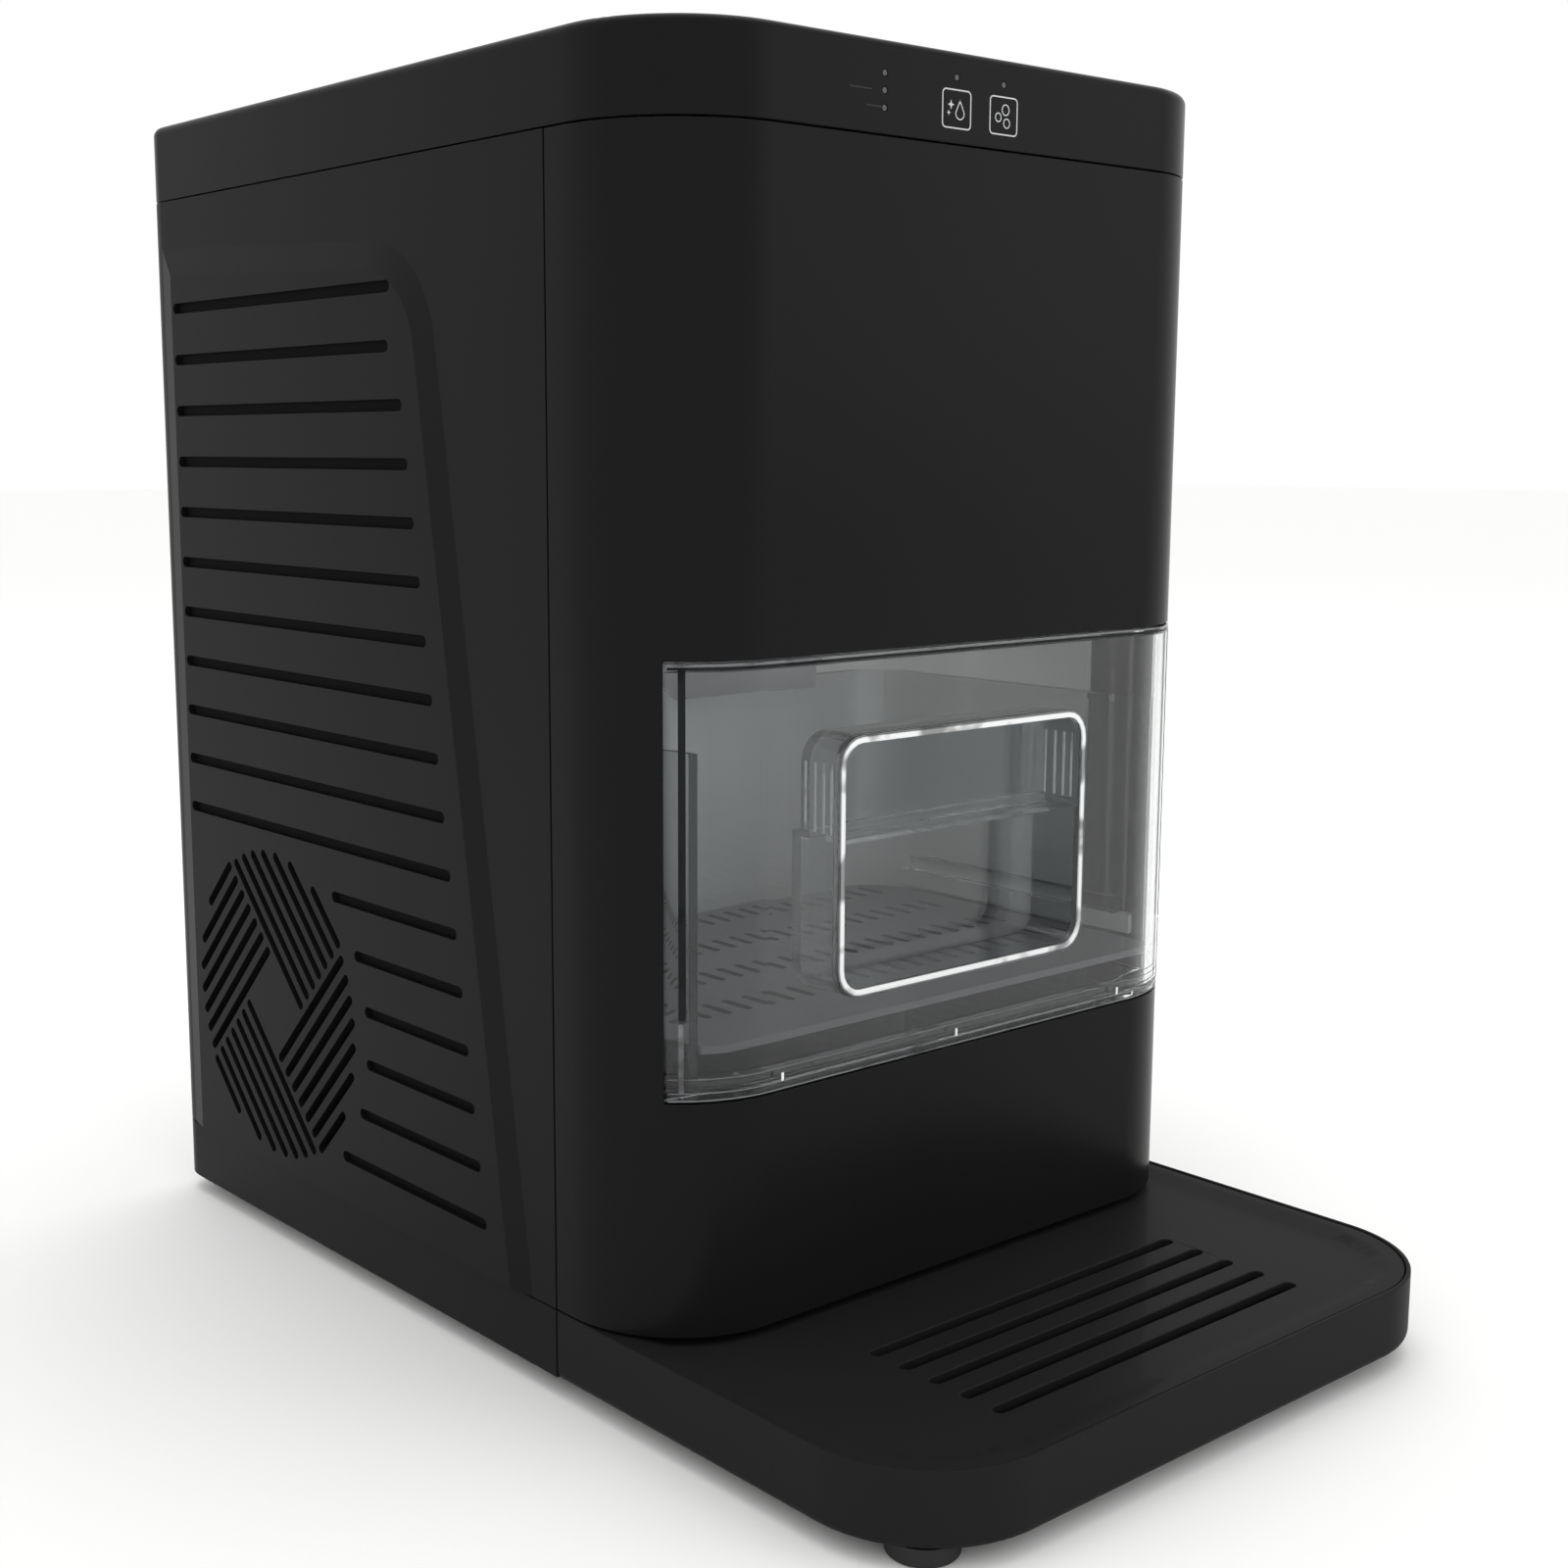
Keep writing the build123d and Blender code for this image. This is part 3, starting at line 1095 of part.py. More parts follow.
def refill_basin():
    """Cup under the refill lid, flanged against the cover on three sides."""
    x0 = LID_X - LID_WIDTH / 2 + 1.5
    x1 = LID_X + LID_WIDTH / 2 - 1.5
    y0 = LID_REAR - LID_LENGTH + 1.5
    y1 = LID_REAR - HINGE_RADIUS - 2.0
    z1 = Z_TOP - COVER_TOP
    z0 = z1 - BASIN_DEPTH
    cup = slab(rect_outline(x0, x1, y0, y1, 8.0), z0, z1)
    cup += slab(rect_outline(x0 - 6, x1 + 6, y0 - 6, y1 - 8, 8.0), z1 - 2.5, z1)
    cup -= slab(rect_outline(x0 + 2, x1 - 2, y0 + 2, y1 - 2, 6.0), z0 + 2.5, z1 + 1)
    y = LID_REAR - LID_LENGTH + 18
    cup += disc(FILL_X, y, z0 - 8, z0 + 1, HOSE_RADIUS)
    return cup - disc(FILL_X, y, z0 - 9, z0 + 5, HOSE_RADIUS - 1.5)


# ---- drip tray ----
def tray_housing():
    z1 = Z_BAND - SEAM / 2
    solid = slab(tray_outline(), Z_BASE, z1)
    low = [edge for edge in solid.edges().group_by(Axis.Z)[0] if edge.center().Y < SEAM_Y - SEAM]
    solid = fillet(low, EDGE_ROUND)
    solid -= slab(tray_outline(WALL, SEAM_Y - SEAM / 2 - WALL), Z_BASE + 3.0, z1 + 1)
    solid -= slab(tray_outline(TRAY_RIM, SEAM_Y - SEAM / 2 - WALL), plate_bottom(), z1 + 1)
    ledge = slab(tray_outline(WALL - 0.1, SEAM_Y - SEAM / 2 - WALL + 0.1), plate_bottom() - 2.5, plate_bottom())
    ledge -= slab(tray_outline(WALL + 4.0, SEAM_Y - SEAM / 2 - WALL - 4.0), Z_BASE, Z_BAND)
    solid += ledge
    for side in (-1, 1):
        x = side * 60.0
        z = Z_BASE + 12.0
        solid += block(x - 8, x + 8, SEAM_Y - 3, SEAM_Y + 16, z - 4, z + 4)
    return solid


def plate_top():
    return Z_BAND - SEAM / 2 - 0.3


def plate_bottom():
    return plate_top() - GRILLE_SKIN - DISH_DEPTH


def drip_grille():
    inset = TRAY_RIM + TRAY_GAP
    rear = SEAM_Y - SEAM / 2 - WALL - TRAY_GAP
    solid = slab(tray_outline(inset, rear), plate_bottom(), plate_top())
    past = rear + DISH_SLOPE + 1
    dish = slab(tray_outline(inset + DISH_MARGIN, past), plate_top() - DISH_DEPTH, plate_top() + 1)
    bottom = dish.faces().sort_by(Axis.Z)[0]
    solid -= chamfer(bottom.edges(), DISH_SLOPE, DISH_DEPTH, reference=bottom)
    for row in range(TRAY_SLOTS):
        y = FRONT - TRAY_SLOT_FIRST - row * TRAY_SLOT_PITCH
        slot = Pos(0, y) * SlotOverall(TRAY_SLOT_LENGTH, TRAY_SLOT_WIDTH)
        solid -= slab(slot, plate_bottom() - 1, plate_top() + 1)
    return solid


PARTS = [
    base_tub, base_feet, base_plate, front_panel, left_side_panel, right_side_panel, rear_panel, case_screws,
    top_cover, light_pipes, control_board, power_board, power_inlet,
    drawer_front, handle_pocket, grip_plate, drawer_bin, drain_grid,
    cavity_liner, cavity_insulation, ice_chute, bin_sensor, tank_shelf, mid_shelf,
    gearbox_tray, gearbox_cover, output_gear, drive_pinion, lower_bearing, auger, evaporator_barrel,
    evaporator_coil, barrel_jacket, extruder_head, auger_motor,
    compressor, compressor_mounts, condenser_fins, condenser_coil, fan_shroud, fan_impeller, fan_shaft,
    fan_motor, filter_drier, refrigerant_tubes,
    water_tank, tank_lid, tank_float, water_pump, supply_hose, fill_hose, drain_hose, drain_cap,
    refill_lid, lid_seal, lid_hinge_pins, refill_basin,
    tray_housing, drip_grille, tray_feet,
]


def export_all():
    os.makedirs("parts", exist_ok=True)
    for maker in PARTS:
        made = maker()
        solids = made if isinstance(made, list) else [made]
        loose = [solid for shape in solids for solid in shape.solids()]
        export_step(Compound(children=loose), f"parts/{maker.__name__}.step")


export_all()
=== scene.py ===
"""Countertop nugget ice maker: black moulded casing, clear ice drawer, slotted drip tray."""

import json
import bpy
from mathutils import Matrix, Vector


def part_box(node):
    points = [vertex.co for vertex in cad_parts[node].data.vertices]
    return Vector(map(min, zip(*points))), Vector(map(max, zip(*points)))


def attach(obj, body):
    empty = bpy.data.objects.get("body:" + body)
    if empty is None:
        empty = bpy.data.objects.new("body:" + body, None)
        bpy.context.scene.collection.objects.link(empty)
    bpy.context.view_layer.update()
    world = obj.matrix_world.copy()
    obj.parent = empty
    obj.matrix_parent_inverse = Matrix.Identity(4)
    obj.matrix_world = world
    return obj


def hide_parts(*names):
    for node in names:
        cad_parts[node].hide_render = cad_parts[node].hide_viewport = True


bl_info = {
    "name": "Nugget ice maker",
    "version": (1, 0, 0),
    "blender": (4, 5, 0),
    "location": "View3D > Sidebar > Ice maker",
    "description": "Builds the visible pieces and finishes of a countertop nugget ice maker",
    "category": "Object",
}

from math import asin, radians

import bmesh
import bpy
from bpy.props import FloatProperty, FloatVectorProperty, PointerProperty
from mathutils import Matrix, Vector

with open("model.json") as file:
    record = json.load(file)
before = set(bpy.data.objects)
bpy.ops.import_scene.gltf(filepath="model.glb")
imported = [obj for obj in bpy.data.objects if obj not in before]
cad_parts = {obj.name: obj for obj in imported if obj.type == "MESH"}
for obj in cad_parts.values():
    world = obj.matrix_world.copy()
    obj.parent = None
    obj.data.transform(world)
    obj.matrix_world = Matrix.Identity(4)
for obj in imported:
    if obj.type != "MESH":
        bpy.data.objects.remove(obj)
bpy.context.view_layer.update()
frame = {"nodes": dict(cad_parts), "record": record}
BODY_OF = {node: body for body, nodes in frame["record"]["behaviour"]["bodies"].items() for node in nodes}
COVER_LOW, COVER_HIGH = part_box("top_cover")
MM = 0.001
CASING_CORNER = 44 * MM     # radius of the casing's front corners
GROOVE_DEPTH = 2.2 * MM     # grooves of the side panels, below the raised field
POCKET_WALL = 2.5 * MM      # wall of the handle pocket
POCKET_CORNER = 10 * MM     # corner radius of the handle pocket
POCKET_STEP = 50.9 * MM     # lower edge of the pocket to the lower edge of its grip plate
CLIPS_X = (-83.6, -4.3, 80.5)       # clips along the drawer's lower lip, in millimetres
SHARP = radians(50)         # an edge that turns more than this is eased
SMOOTH = radians(48)        # faces that turn less than this are shaded as one


def linear(hex_code):
    """An sRGB hex colour as the linear values that shaders take."""
    channels = [int(hex_code[k:k + 2], 16) / 255 for k in (0, 2, 4)]
    return tuple(c / 12.92 if c <= 0.04045 else ((c + 0.055) / 1.055) ** 2.4 for c in channels)


# ---- sizes and colours that a user would change ----
def length(name, description, millimetres):
    return FloatProperty(name=name, description=description, default=millimetres * MM, unit="LENGTH",
                         subtype="DISTANCE", precision=5)


def colour(name, description, hex_code):
    return FloatVectorProperty(name=name, description=description, default=linear(hex_code),
                               subtype="COLOR", size=3, min=0.0, max=1.0)


def share(name, description, value, top=1.0):
    return FloatProperty(name=name, description=description, default=value, min=0.0, max=top,
                         subtype="FACTOR")


class CasingSettings(bpy.types.PropertyGroup):
    edge: length("Eased edge", "Width of the rounding that the mould leaves on each outer edge", 0.45)
    black: colour("Casing black", "Colour of the moulded ABS of cover, front and tray", "181819")
    side_black: colour("Side black", "Colour of the side and rear panels", "181819")
    satin: share("Front roughness", "Roughness of cover, front panel and tray", 0.24)
    side_satin: share("Side roughness", "Roughness of the side and rear panels", 0.36)
    grain: length("Grain", "Size of one grain of the mould's spark texture", 1.1)


class ControlSettings(bpy.types.PropertyGroup):
    left_key: length("Left key", "Place of the rinse key from the middle", -11.7)
    right_key: length("Right key", "Place of the ice key from the middle", 10.1)
    drop_below_top: length("Key height", "Middle of the keys below the top of the cover", 17.9)
    key_width: length("Key width", "Width of the printed frame of a touch key", 13.2)
    key_height: length("Key frame height", "Height of the printed frame of a touch key", 12.0)
    line: length("Line", "Width of the printed lines", 0.42)
    ink: colour("Ink", "Colour of the printed marks", "c9cacc")
    label_ink: colour("Label ink", "Colour of the dark label lines", "060606")


class DrawerSettings(bpy.types.PropertyGroup):
    edge: length("Eased edge", "Rounding on the edges of the clear mouldings", 0.4)
    clear: colour("Clear plastic", "Tint of the clear styrene", "eef0f1")
    bend: share("Bend", "Index of refraction of the clear plastic", 1.35, 2.0)
    grid: colour("Grid", "Colour of the translucent drain grid", "7c7e80")
    # The next three tints are painted light on the clear drawer: bright painted highlights, thin painted
    # highlight lines, and painted dark reflections of the black frame.
    polished: colour("Polished edge", "Tint of the edges that gather the light", "f6f7f7")
    painted_line_light: colour("Lip line", "Tint of the thin lines where the lip meets the skin", "6f7173")
    dark: colour("Dark edge", "Tint of the edges that look on to the black frame", "1d1e1f")
    # width of the painted highlight round the handle
    rim: length("Handle rim", "Width of the bright rim round the handle", 1.8)
    liner: colour("Liner", "Colour of the cavity's liner", "f6f6f4")
    chute: colour("Chute", "Colour of the ice chute", "4a4b4e")


class WorkSettings(bpy.types.PropertyGroup):
    copper: colour("Copper", "Colour of the refrigerant tubes", "c8825c")
    steel: colour("Steel", "Colour of turned stainless steel", "b9babd")
    zinc: colour("Zinc", "Colour of galvanised sheet", "a3a7ab")
    aluminium: colour("Fin stock", "Colour of the condenser's fins", "d3d5d8")
    enamel: colour("Enamel", "Colour of compressor and motors", "141517")
    mask: colour("Solder mask", "Colour of the circuit boards", "0f4a2a")
    natural: colour("Polypropylene", "Colour of tank, pump and gearbox", "d9dad7")
    silicone: colour("Silicone", "Colour of the water hoses", "dfe3e4")


class StudioSettings(bpy.types.PropertyGroup):
    lens: FloatProperty(name="Lens", description="Focal length on a 36 mm sensor", default=48.289,
                        subtype="DISTANCE_CAMERA")
    floor: colour("Floor", "Colour of the paper floor", "fcfcfb")
    sky: share("Sky", "Brightness of the surrounding studio", 1.0, 4.0)
    key_power: FloatProperty(name="Key light", description="Power of the large soft light", default=2.5,
                             subtype="POWER")
    fill_power: FloatProperty(name="Fill light", description="Power of the second soft light", default=11.0,
                              subtype="POWER")
    bin_power: FloatProperty(name="Bin light", description="Power of the light inside the ice cavity",
                             default=0.065, subtype="POWER")
    top_power: FloatProperty(name="Top light", description="Power of the overhead softbox", default=15.0,
                             subtype="POWER")


class IceMakerSettings(bpy.types.PropertyGroup):
    casing: PointerProperty(type=CasingSettings)
    controls: PointerProperty(type=ControlSettings)
    drawer: PointerProperty(type=DrawerSettings)
    works: PointerProperty(type=WorkSettings)
    studio: PointerProperty(type=StudioSettings)


# ---- materials ----
def add(tree, kind, values=None, links=None, **settings):
    """Adds a node with its settings, its socket values and the links into it."""
    node = tree.nodes.new(kind)
    for key, value in settings.items():
        setattr(node, key, value)
    for key, value in (values or {}).items():
        node.inputs[key].default_value = value
    for key, source in (links or {}).items():
        tree.links.new(source, node.inputs[key])
    return node


def per_metre(millimetres):
    """Texture scale of a pattern whose repeat has this real size."""
    return 1.0 / (millimetres * MM)


def surface(name, tint, **values):
    """A material with one shader; returns it with its tree, shader and Object coordinates."""
    material = bpy.data.materials.new(name)
    material.use_nodes = True
    tree = material.node_tree
    shader = tree.nodes["Principled BSDF"]
    shader.inputs["Base Color"].default_value = (*tint, 1.0)
    for key, value in values.items():
        shader.inputs[key.replace("_", " ").title().replace("Ior", "IOR")].default_value = value
    place = add(tree, "ShaderNodeTexCoord").outputs["Object"]
    return material, tree, shader, place


def relief(tree, shader, height, depth):
    """Turns a pattern's height into bump of a real depth in millimetres."""
    bump = add(tree, "ShaderNodeBump", {"Strength": 1.0, "Distance": depth * MM}, {"Height": height})
    tree.links.new(bump.outputs["Normal"], shader.inputs["Normal"])


def vary_colour(tree, shader, factor, dark, light):
    """Blends the surface between two tints by a pattern."""
    mix = add(tree, "ShaderNodeMix", {6: (*dark, 1.0), 7: (*light, 1.0)}, {0: factor}, data_type="RGBA")
    tree.links.new(mix.outputs[2], shader.inputs["Base Color"])
    return mix.outputs[2]


def vary_roughness(tree, shader, factor, low, high):
    """Moves the roughness between two values by a pattern."""
    span = add(tree, "ShaderNodeMapRange", {"To Min": low, "To Max": high}, {"Value": factor})
    tree.links.new(span.outputs["Result"], shader.inputs["Roughness"])


def shade(tint, factor):
    return tuple(min(1.0, channel * factor) for channel in tint)


def moulded_abs(name, tint, roughness, grain, sheen=0.042, gloss=0.0):
    """Black ABS from a spark-eroded mould: satin, with a faint grain and soft flow marks."""
    material, tree, shader, place = surface(name, tint, roughness=roughness, ior=1.52)
    shader.inputs["Specular IOR Level"].default_value = sheen
    shader.inputs["Coat Weight"].default_value = gloss
    shader.inputs["Coat Roughness"].default_value = 0.05
    grit = add(tree, "ShaderNodeTexNoise", {"Scale": per_metre(grain / MM), "Detail": 3.0, "Roughness": 0.6},
               {"Vector": place})
    # flow marks about 90 mm long, far weaker than the grain
    flow = add(tree, "ShaderNodeTexNoise", {"Scale": per_metre(90.0), "Detail": 2.0}, {"Vector": place})
    vary_colour(tree, shader, flow.outputs["Fac"], shade(tint, 0.9), shade(tint, 1.12))
    vary_roughness(tree, shader, flow.outputs["Fac"], roughness - 0.03, roughness + 0.05)
    relief(tree, shader, grit.outputs["Fac"], 0.012)
    return material


def clear_styrene(name, tint, bend):
    """Clear styrene, polished in the mould: sharp highlights, bright edges, faint haze."""
    material, tree, shader, place = surface(name, tint, roughness=0.03, ior=bend)
    shader.inputs["Transmission Weight"].default_value = 1.0
    shader.inputs["Alpha"].default_value = 0.97
    ripple = add(tree, "ShaderNodeTexNoise", {"Scale": per_metre(26.0), "Detail": 1.0}, {"Vector": place})
    relief(tree, shader, ripple.outputs["Fac"], 0.004)
    vary_roughness(tree, shader, ripple.outputs["Fac"], 0.0, 0.015)
    return material


def painted_edge_light(name, tint, sheen=0.5):
    """Painted light on clear styrene's edges: one tint standing in for the highlight or dark reflection that
    the sheet shows there.
    """
    material, tree, shader, place = surface(name, tint, roughness=0.12, ior=1.5)
    shader.inputs["Specular IOR Level"].default_value = sheen
    shader.inputs["Transmission Weight"].default_value = 0.08
    # painted glints: noise breaks the tint into patches at full tint and patches at a third of it
    glint = add(tree, "ShaderNodeTexNoise", {"Scale": per_metre(13.0), "Detail": 2.0}, {"Vector": place})
    ramp = add(tree, "ShaderNodeValToRGB", links={"Fac": glint.outputs["Fac"]})
    ramp.color_ramp.elements[0].position = 0.34
    ramp.color_ramp.elements[1].position = 0.46
    vary_colour(tree, shader, ramp.outputs["Color"], shade(tint, 0.3), tint)
    return material


def frosted_grid(name, tint):
    """Drain grid in frosted styrene: milky, with a fine etch."""
    material, tree, shader, place = surface(name, tint, roughness=0.35, ior=1.5)
    shader.inputs["Transmission Weight"].default_value = 0.5
    etch = add(tree, "ShaderNodeTexNoise", {"Scale": per_metre(1.4), "Detail": 2.0}, {"Vector": place})
    relief(tree, shader, etch.outputs["Fac"], 0.02)
    vary_colour(tree, shader, etch.outputs["Fac"], shade(tint, 0.92), shade(tint, 1.06))
    return material


def grey_polypropylene(name, tint, roughness=0.42):
    """Moulded polypropylene: waxy satin with a slight orange peel."""
    material, tree, shader, place = surface(name, tint, roughness=roughness, ior=1.49)
    peel = add(tree, "ShaderNodeTexNoise", {"Scale": per_metre(3.2), "Detail": 2.0}, {"Vector": place})
    cloud = add(tree, "ShaderNodeTexNoise", {"Scale": per_metre(60.0), "Detail": 1.0}, {"Vector": place})
    vary_colour(tree, shader, cloud.outputs["Fac"], shade(tint, 0.93), shade(tint, 1.05))
    vary_roughness(tree, shader, peel.outputs["Fac"], roughness - 0.06, roughness + 0.08)
    relief(tree, shader, peel.outputs["Fac"], 0.03)
    return material


def closed_cell_foam(name, tint):
    """Closed-cell foam cut to shape: matt, with cells about 2.5 mm wide."""
    material, tree, shader, place = surface(name, tint, roughness=0.92, ior=1.45)
    cells = add(tree, "ShaderNodeTexVoronoi", {"Scale": per_metre(2.5)}, {"Vector": place})
    vary_colour(tree, shader, cells.outputs["Distance"], shade(tint, 1.15), shade(tint, 0.7))
    relief(tree, shader, cells.outputs["Distance"], 0.35)
    return material


def nitrile_rubber(name, tint):
    """Moulded nitrile rubber: dull black with a grey bloom of dust."""
    material, tree, shader, place = surface(name, tint, roughness=0.78, ior=1.52)
    bloom = add(tree, "ShaderNodeTexNoise", {"Scale": per_metre(7.0), "Detail": 4.0}, {"Vector": place})
    vary_colour(tree, shader, bloom.outputs["Fac"], shade(tint, 0.8), shade(tint, 1.7))
    relief(tree, shader, bloom.outputs["Fac"], 0.06)
    return material


def silicone_hose(name, tint):
    """Extruded silicone: milky, with faint rings left by the die."""
    material, tree, shader, place = surface(name, tint, roughness=0.5, ior=1.41)
    shader.inputs["Transmission Weight"].default_value = 0.35
    rings = add(tree, "ShaderNodeTexWave", {"Scale": per_metre(9.0), "Distortion": 1.5, "Detail": 1.0},
                {"Vector": place}, bands_direction="Z")
    relief(tree, shader, rings.outputs["Fac"], 0.03)
    vary_colour(tree, shader, rings.outputs["Fac"], shade(tint, 0.94), tint)
    return material


def galvanised_sheet(name, tint):
    """Hot-dip galvanised sheet: grey spangle, each crystal about 9 mm wide."""
    material, tree, shader, place = surface(name, tint, metallic=1.0, roughness=0.42)
    spangle = add(tree, "ShaderNodeTexVoronoi", {"Scale": per_metre(9.0)}, {"Vector": place})
    level = add(tree, "ShaderNodeSeparateColor", links={"Color": spangle.outputs["Color"]}).outputs["Red"]
    vary_colour(tree, shader, level, shade(tint, 0.72), shade(tint, 1.08))
    vary_roughness(tree, shader, level, 0.34, 0.52)
    return material


def turned_steel(name, tint, roughness=0.24):
    """Turned stainless steel: fine tool rings across the axis, one each 0.6 mm."""
    material, tree, shader, place = surface(name, tint, metallic=1.0, roughness=roughness)
    rings = add(tree, "ShaderNodeTexWave", {"Scale": per_metre(12.0), "Distortion": 0.4, "Detail": 2.0},
                {"Vector": place}, bands_direction="Z")
    vary_roughness(tree, shader, rings.outputs["Fac"], roughness - 0.04, roughness + 0.1)
    relief(tree, shader, rings.outputs["Fac"], 0.01)
    return material


def zinc_screw(name, tint):
    """Zinc-plated screw: bright, with a cloudy passivation."""
    material, tree, shader, place = surface(name, tint, metallic=1.0, roughness=0.3)
    cloud = add(tree, "ShaderNodeTexNoise", {"Scale": per_metre(2.0), "Detail": 3.0}, {"Vector": place})
    vary_colour(tree, shader, cloud.outputs["Fac"], shade(tint, 0.8), shade(tint, 1.1))
    return material


def drawn_copper(name, tint):
    """Drawn copper tube: soft sheen with darker patches of oxide."""
    material, tree, shader, place = surface(name, tint, metallic=1.0, roughness=0.3)
    oxide = add(tree, "ShaderNodeTexNoise", {"Scale": per_metre(14.0), "Detail": 5.0}, {"Vector": place})
    patch = add(tree, "ShaderNodeValToRGB", links={"Fac": oxide.outputs["Fac"]})
    patch.color_ramp.elements[0].position = 0.42
    patch.color_ramp.elements[1].position = 0.66
    vary_colour(tree, shader, patch.outputs["Color"], tint, shade(tint, 0.55))
    vary_roughness(tree, shader, patch.outputs["Color"], 0.24, 0.5)
    return material


def fin_stock(name, tint):
    """Thin aluminium fin stock: bright rolled surface with short lines along the rolling."""
    material, tree, shader, place = surface(name, tint, metallic=1.0, roughness=0.3)
    stretched = add(tree, "ShaderNodeMapping", {"Scale": (1.0, 1.0, 0.06)}, {"Vector": place})
    lines = add(tree, "ShaderNodeTexNoise", {"Scale": per_metre(1.2), "Detail": 2.0},
                {"Vector": stretched.outputs["Vector"]})
    vary_roughness(tree, shader, lines.outputs["Fac"], 0.22, 0.42)
    vary_colour(tree, shader, lines.outputs["Fac"], shade(tint, 0.88), shade(tint, 1.02))
    return material


def stoved_enamel(name, tint):
    """Black stoved enamel on steel: glossy with orange peel 4 mm across."""
    material, tree, shader, place = surface(name, tint, roughness=0.2, ior=1.5)
    shader.inputs["Coat Weight"].default_value = 0.4
    shader.inputs["Coat Roughness"].default_value = 0.12
    peel = add(tree, "ShaderNodeTexNoise", {"Scale": per_metre(4.0), "Detail": 1.0}, {"Vector": place})
    relief(tree, shader, peel.outputs["Fac"], 0.06)
    vary_colour(tree, shader, peel.outputs["Fac"], shade(tint, 0.85), shade(tint, 1.2))
    return material


def sintered_bronze(name, tint):
    """Sintered bronze bush: matt metal with pores soaked in oil."""
    material, tree, shader, place = surface(name, tint, metallic=1.0, roughness=0.45)
    pores = add(tree, "ShaderNodeTexVoronoi", {"Scale": per_metre(0.8)}, {"Vector": place})
    vary_colour(tree, shader, pores.outputs["Distance"], shade(tint, 0.5), tint)
    relief(tree, shader, pores.outputs["Distance"], 0.05)
    return material


def circuit_board(name, tint, axis, plane):
    """Board with solder mask and tracks on one side of a plane, and dark parts on the other."""
    material, tree, shader, place = surface(name, tint, roughness=0.3, ior=1.5)
    turn = (0, radians(90), 0) if axis == "X" else (radians(90), 0, 0)
    turned = add(tree, "ShaderNodeMapping", {"Rotation": turn}, {"Vector": place})
    tracks = add(tree, "ShaderNodeTexBrick",
                 {"Scale": per_metre(8.0), "Color1": (*tint, 1.0), "Color2": (*shade(tint, 1.3), 1.0),
                  "Mortar": (*shade(tint, 2.2), 1.0), "Mortar Size": 0.06},
                 {"Vector": turned.outputs["Vector"]})
    split = add(tree, "ShaderNodeSeparateXYZ", links={"Vector": place})
    raised = add(tree, "ShaderNodeMath", {1: plane}, {0: split.outputs[axis]}, operation="GREATER_THAN")
    mix = add(tree, "ShaderNodeMix", {7: (0.02, 0.02, 0.022, 1.0)},
              {0: raised.outputs[0], 6: tracks.outputs["Color"]}, data_type="RGBA")
    tree.links.new(mix.outputs[2], shader.inputs["Base Color"])
    relief(tree, shader, tracks.outputs["Fac"], 0.04)
    return material


def screen_ink(name, tint):
    """Screen-printed ink: thin, matt, with a slightly uneven edge of tone."""
    material, tree, shader, place = surface(name, tint, roughness=0.55, ior=1.45)
    speck = add(tree, "ShaderNodeTexNoise", {"Scale": per_metre(0.5), "Detail": 1.0}, {"Vector": place})
    vary_colour(tree, shader, speck.outputs["Fac"], shade(tint, 0.88), shade(tint, 1.05))
    return material


def paper_floor(name, tint):
    """Seamless studio paper: pale and matt, with a very weak tooth."""
    material, tree, shader, place = surface(name, tint, roughness=0.9)
    shader.inputs["Specular IOR Level"].default_value = 0.1
    tooth = add(tree, "ShaderNodeTexNoise", {"Scale": per_metre(3.0), "Detail": 2.0}, {"Vector": place})
    relief(tree, shader, tooth.outputs["Fac"], 0.02)
    return material


# ---- making pieces ----
def verts_of(made):
    """The vertices among the parts that an operator returns."""
    return [item for item in made if isinstance(item, bmesh.types.BMVert)]


def merged_copy(node):
    """A copy of a CAD node's mesh with its triangles joined into whole faces."""
    bm = bmesh.new()
    bm.from_mesh(frame["nodes"][node].data)
    bmesh.ops.remove_doubles(bm, verts=bm.verts, dist=2e-6)
    bmesh.ops.dissolve_limit(bm, angle_limit=radians(0.4), use_dissolve_boundaries=False,
                             verts=bm.verts, edges=bm.edges)
    return bm


def ease_edges(bm, width):
    """Rounds every sharp edge, as the mould's own edges are never quite sharp."""
    sharp = [edge for edge in bm.edges if len(edge.link_faces) == 2 and edge.calc_face_angle(0.0) > SHARP]
    bmesh.ops.bevel(bm, geom=sharp, offset=width, offset_type="OFFSET", segments=2, profile=0.5,
                    affect="EDGES", clamp_overlap=False, loop_slide=True, material=-1)


def make_piece(bm, name, body, material, replaced=(), flat_first=True):
    """Turns a bmesh into a piece that rides on a body; large faces keep their own normals."""
    mesh = bpy.data.meshes.new(name)
    bm.to_mesh(mesh)
    bm.free()
    mesh.shade_smooth()
    mesh.set_sharp_from_angle(angle=SMOOTH)
    mesh.materials.append(material)
    piece = bpy.data.objects.new(name, mesh)
    bpy.context.scene.collection.objects.link(piece)
    if flat_first:
        weighted = piece.modifiers.new("Weighted normals", "WEIGHTED_NORMAL")
        weighted.keep_sharp = True
        weighted.weight = 80
    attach(piece, body)
    if replaced:
        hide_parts(*replaced)
    return piece


def eased_shell(node, material, width):
    """A visible moulding: the CAD node's shape with eased edges, standing for that node."""
    bm = merged_copy(node)
    ease_edges(bm, width)
    return make_piece(bm, node + "_moulding", BODY_OF[node], material, (node,))


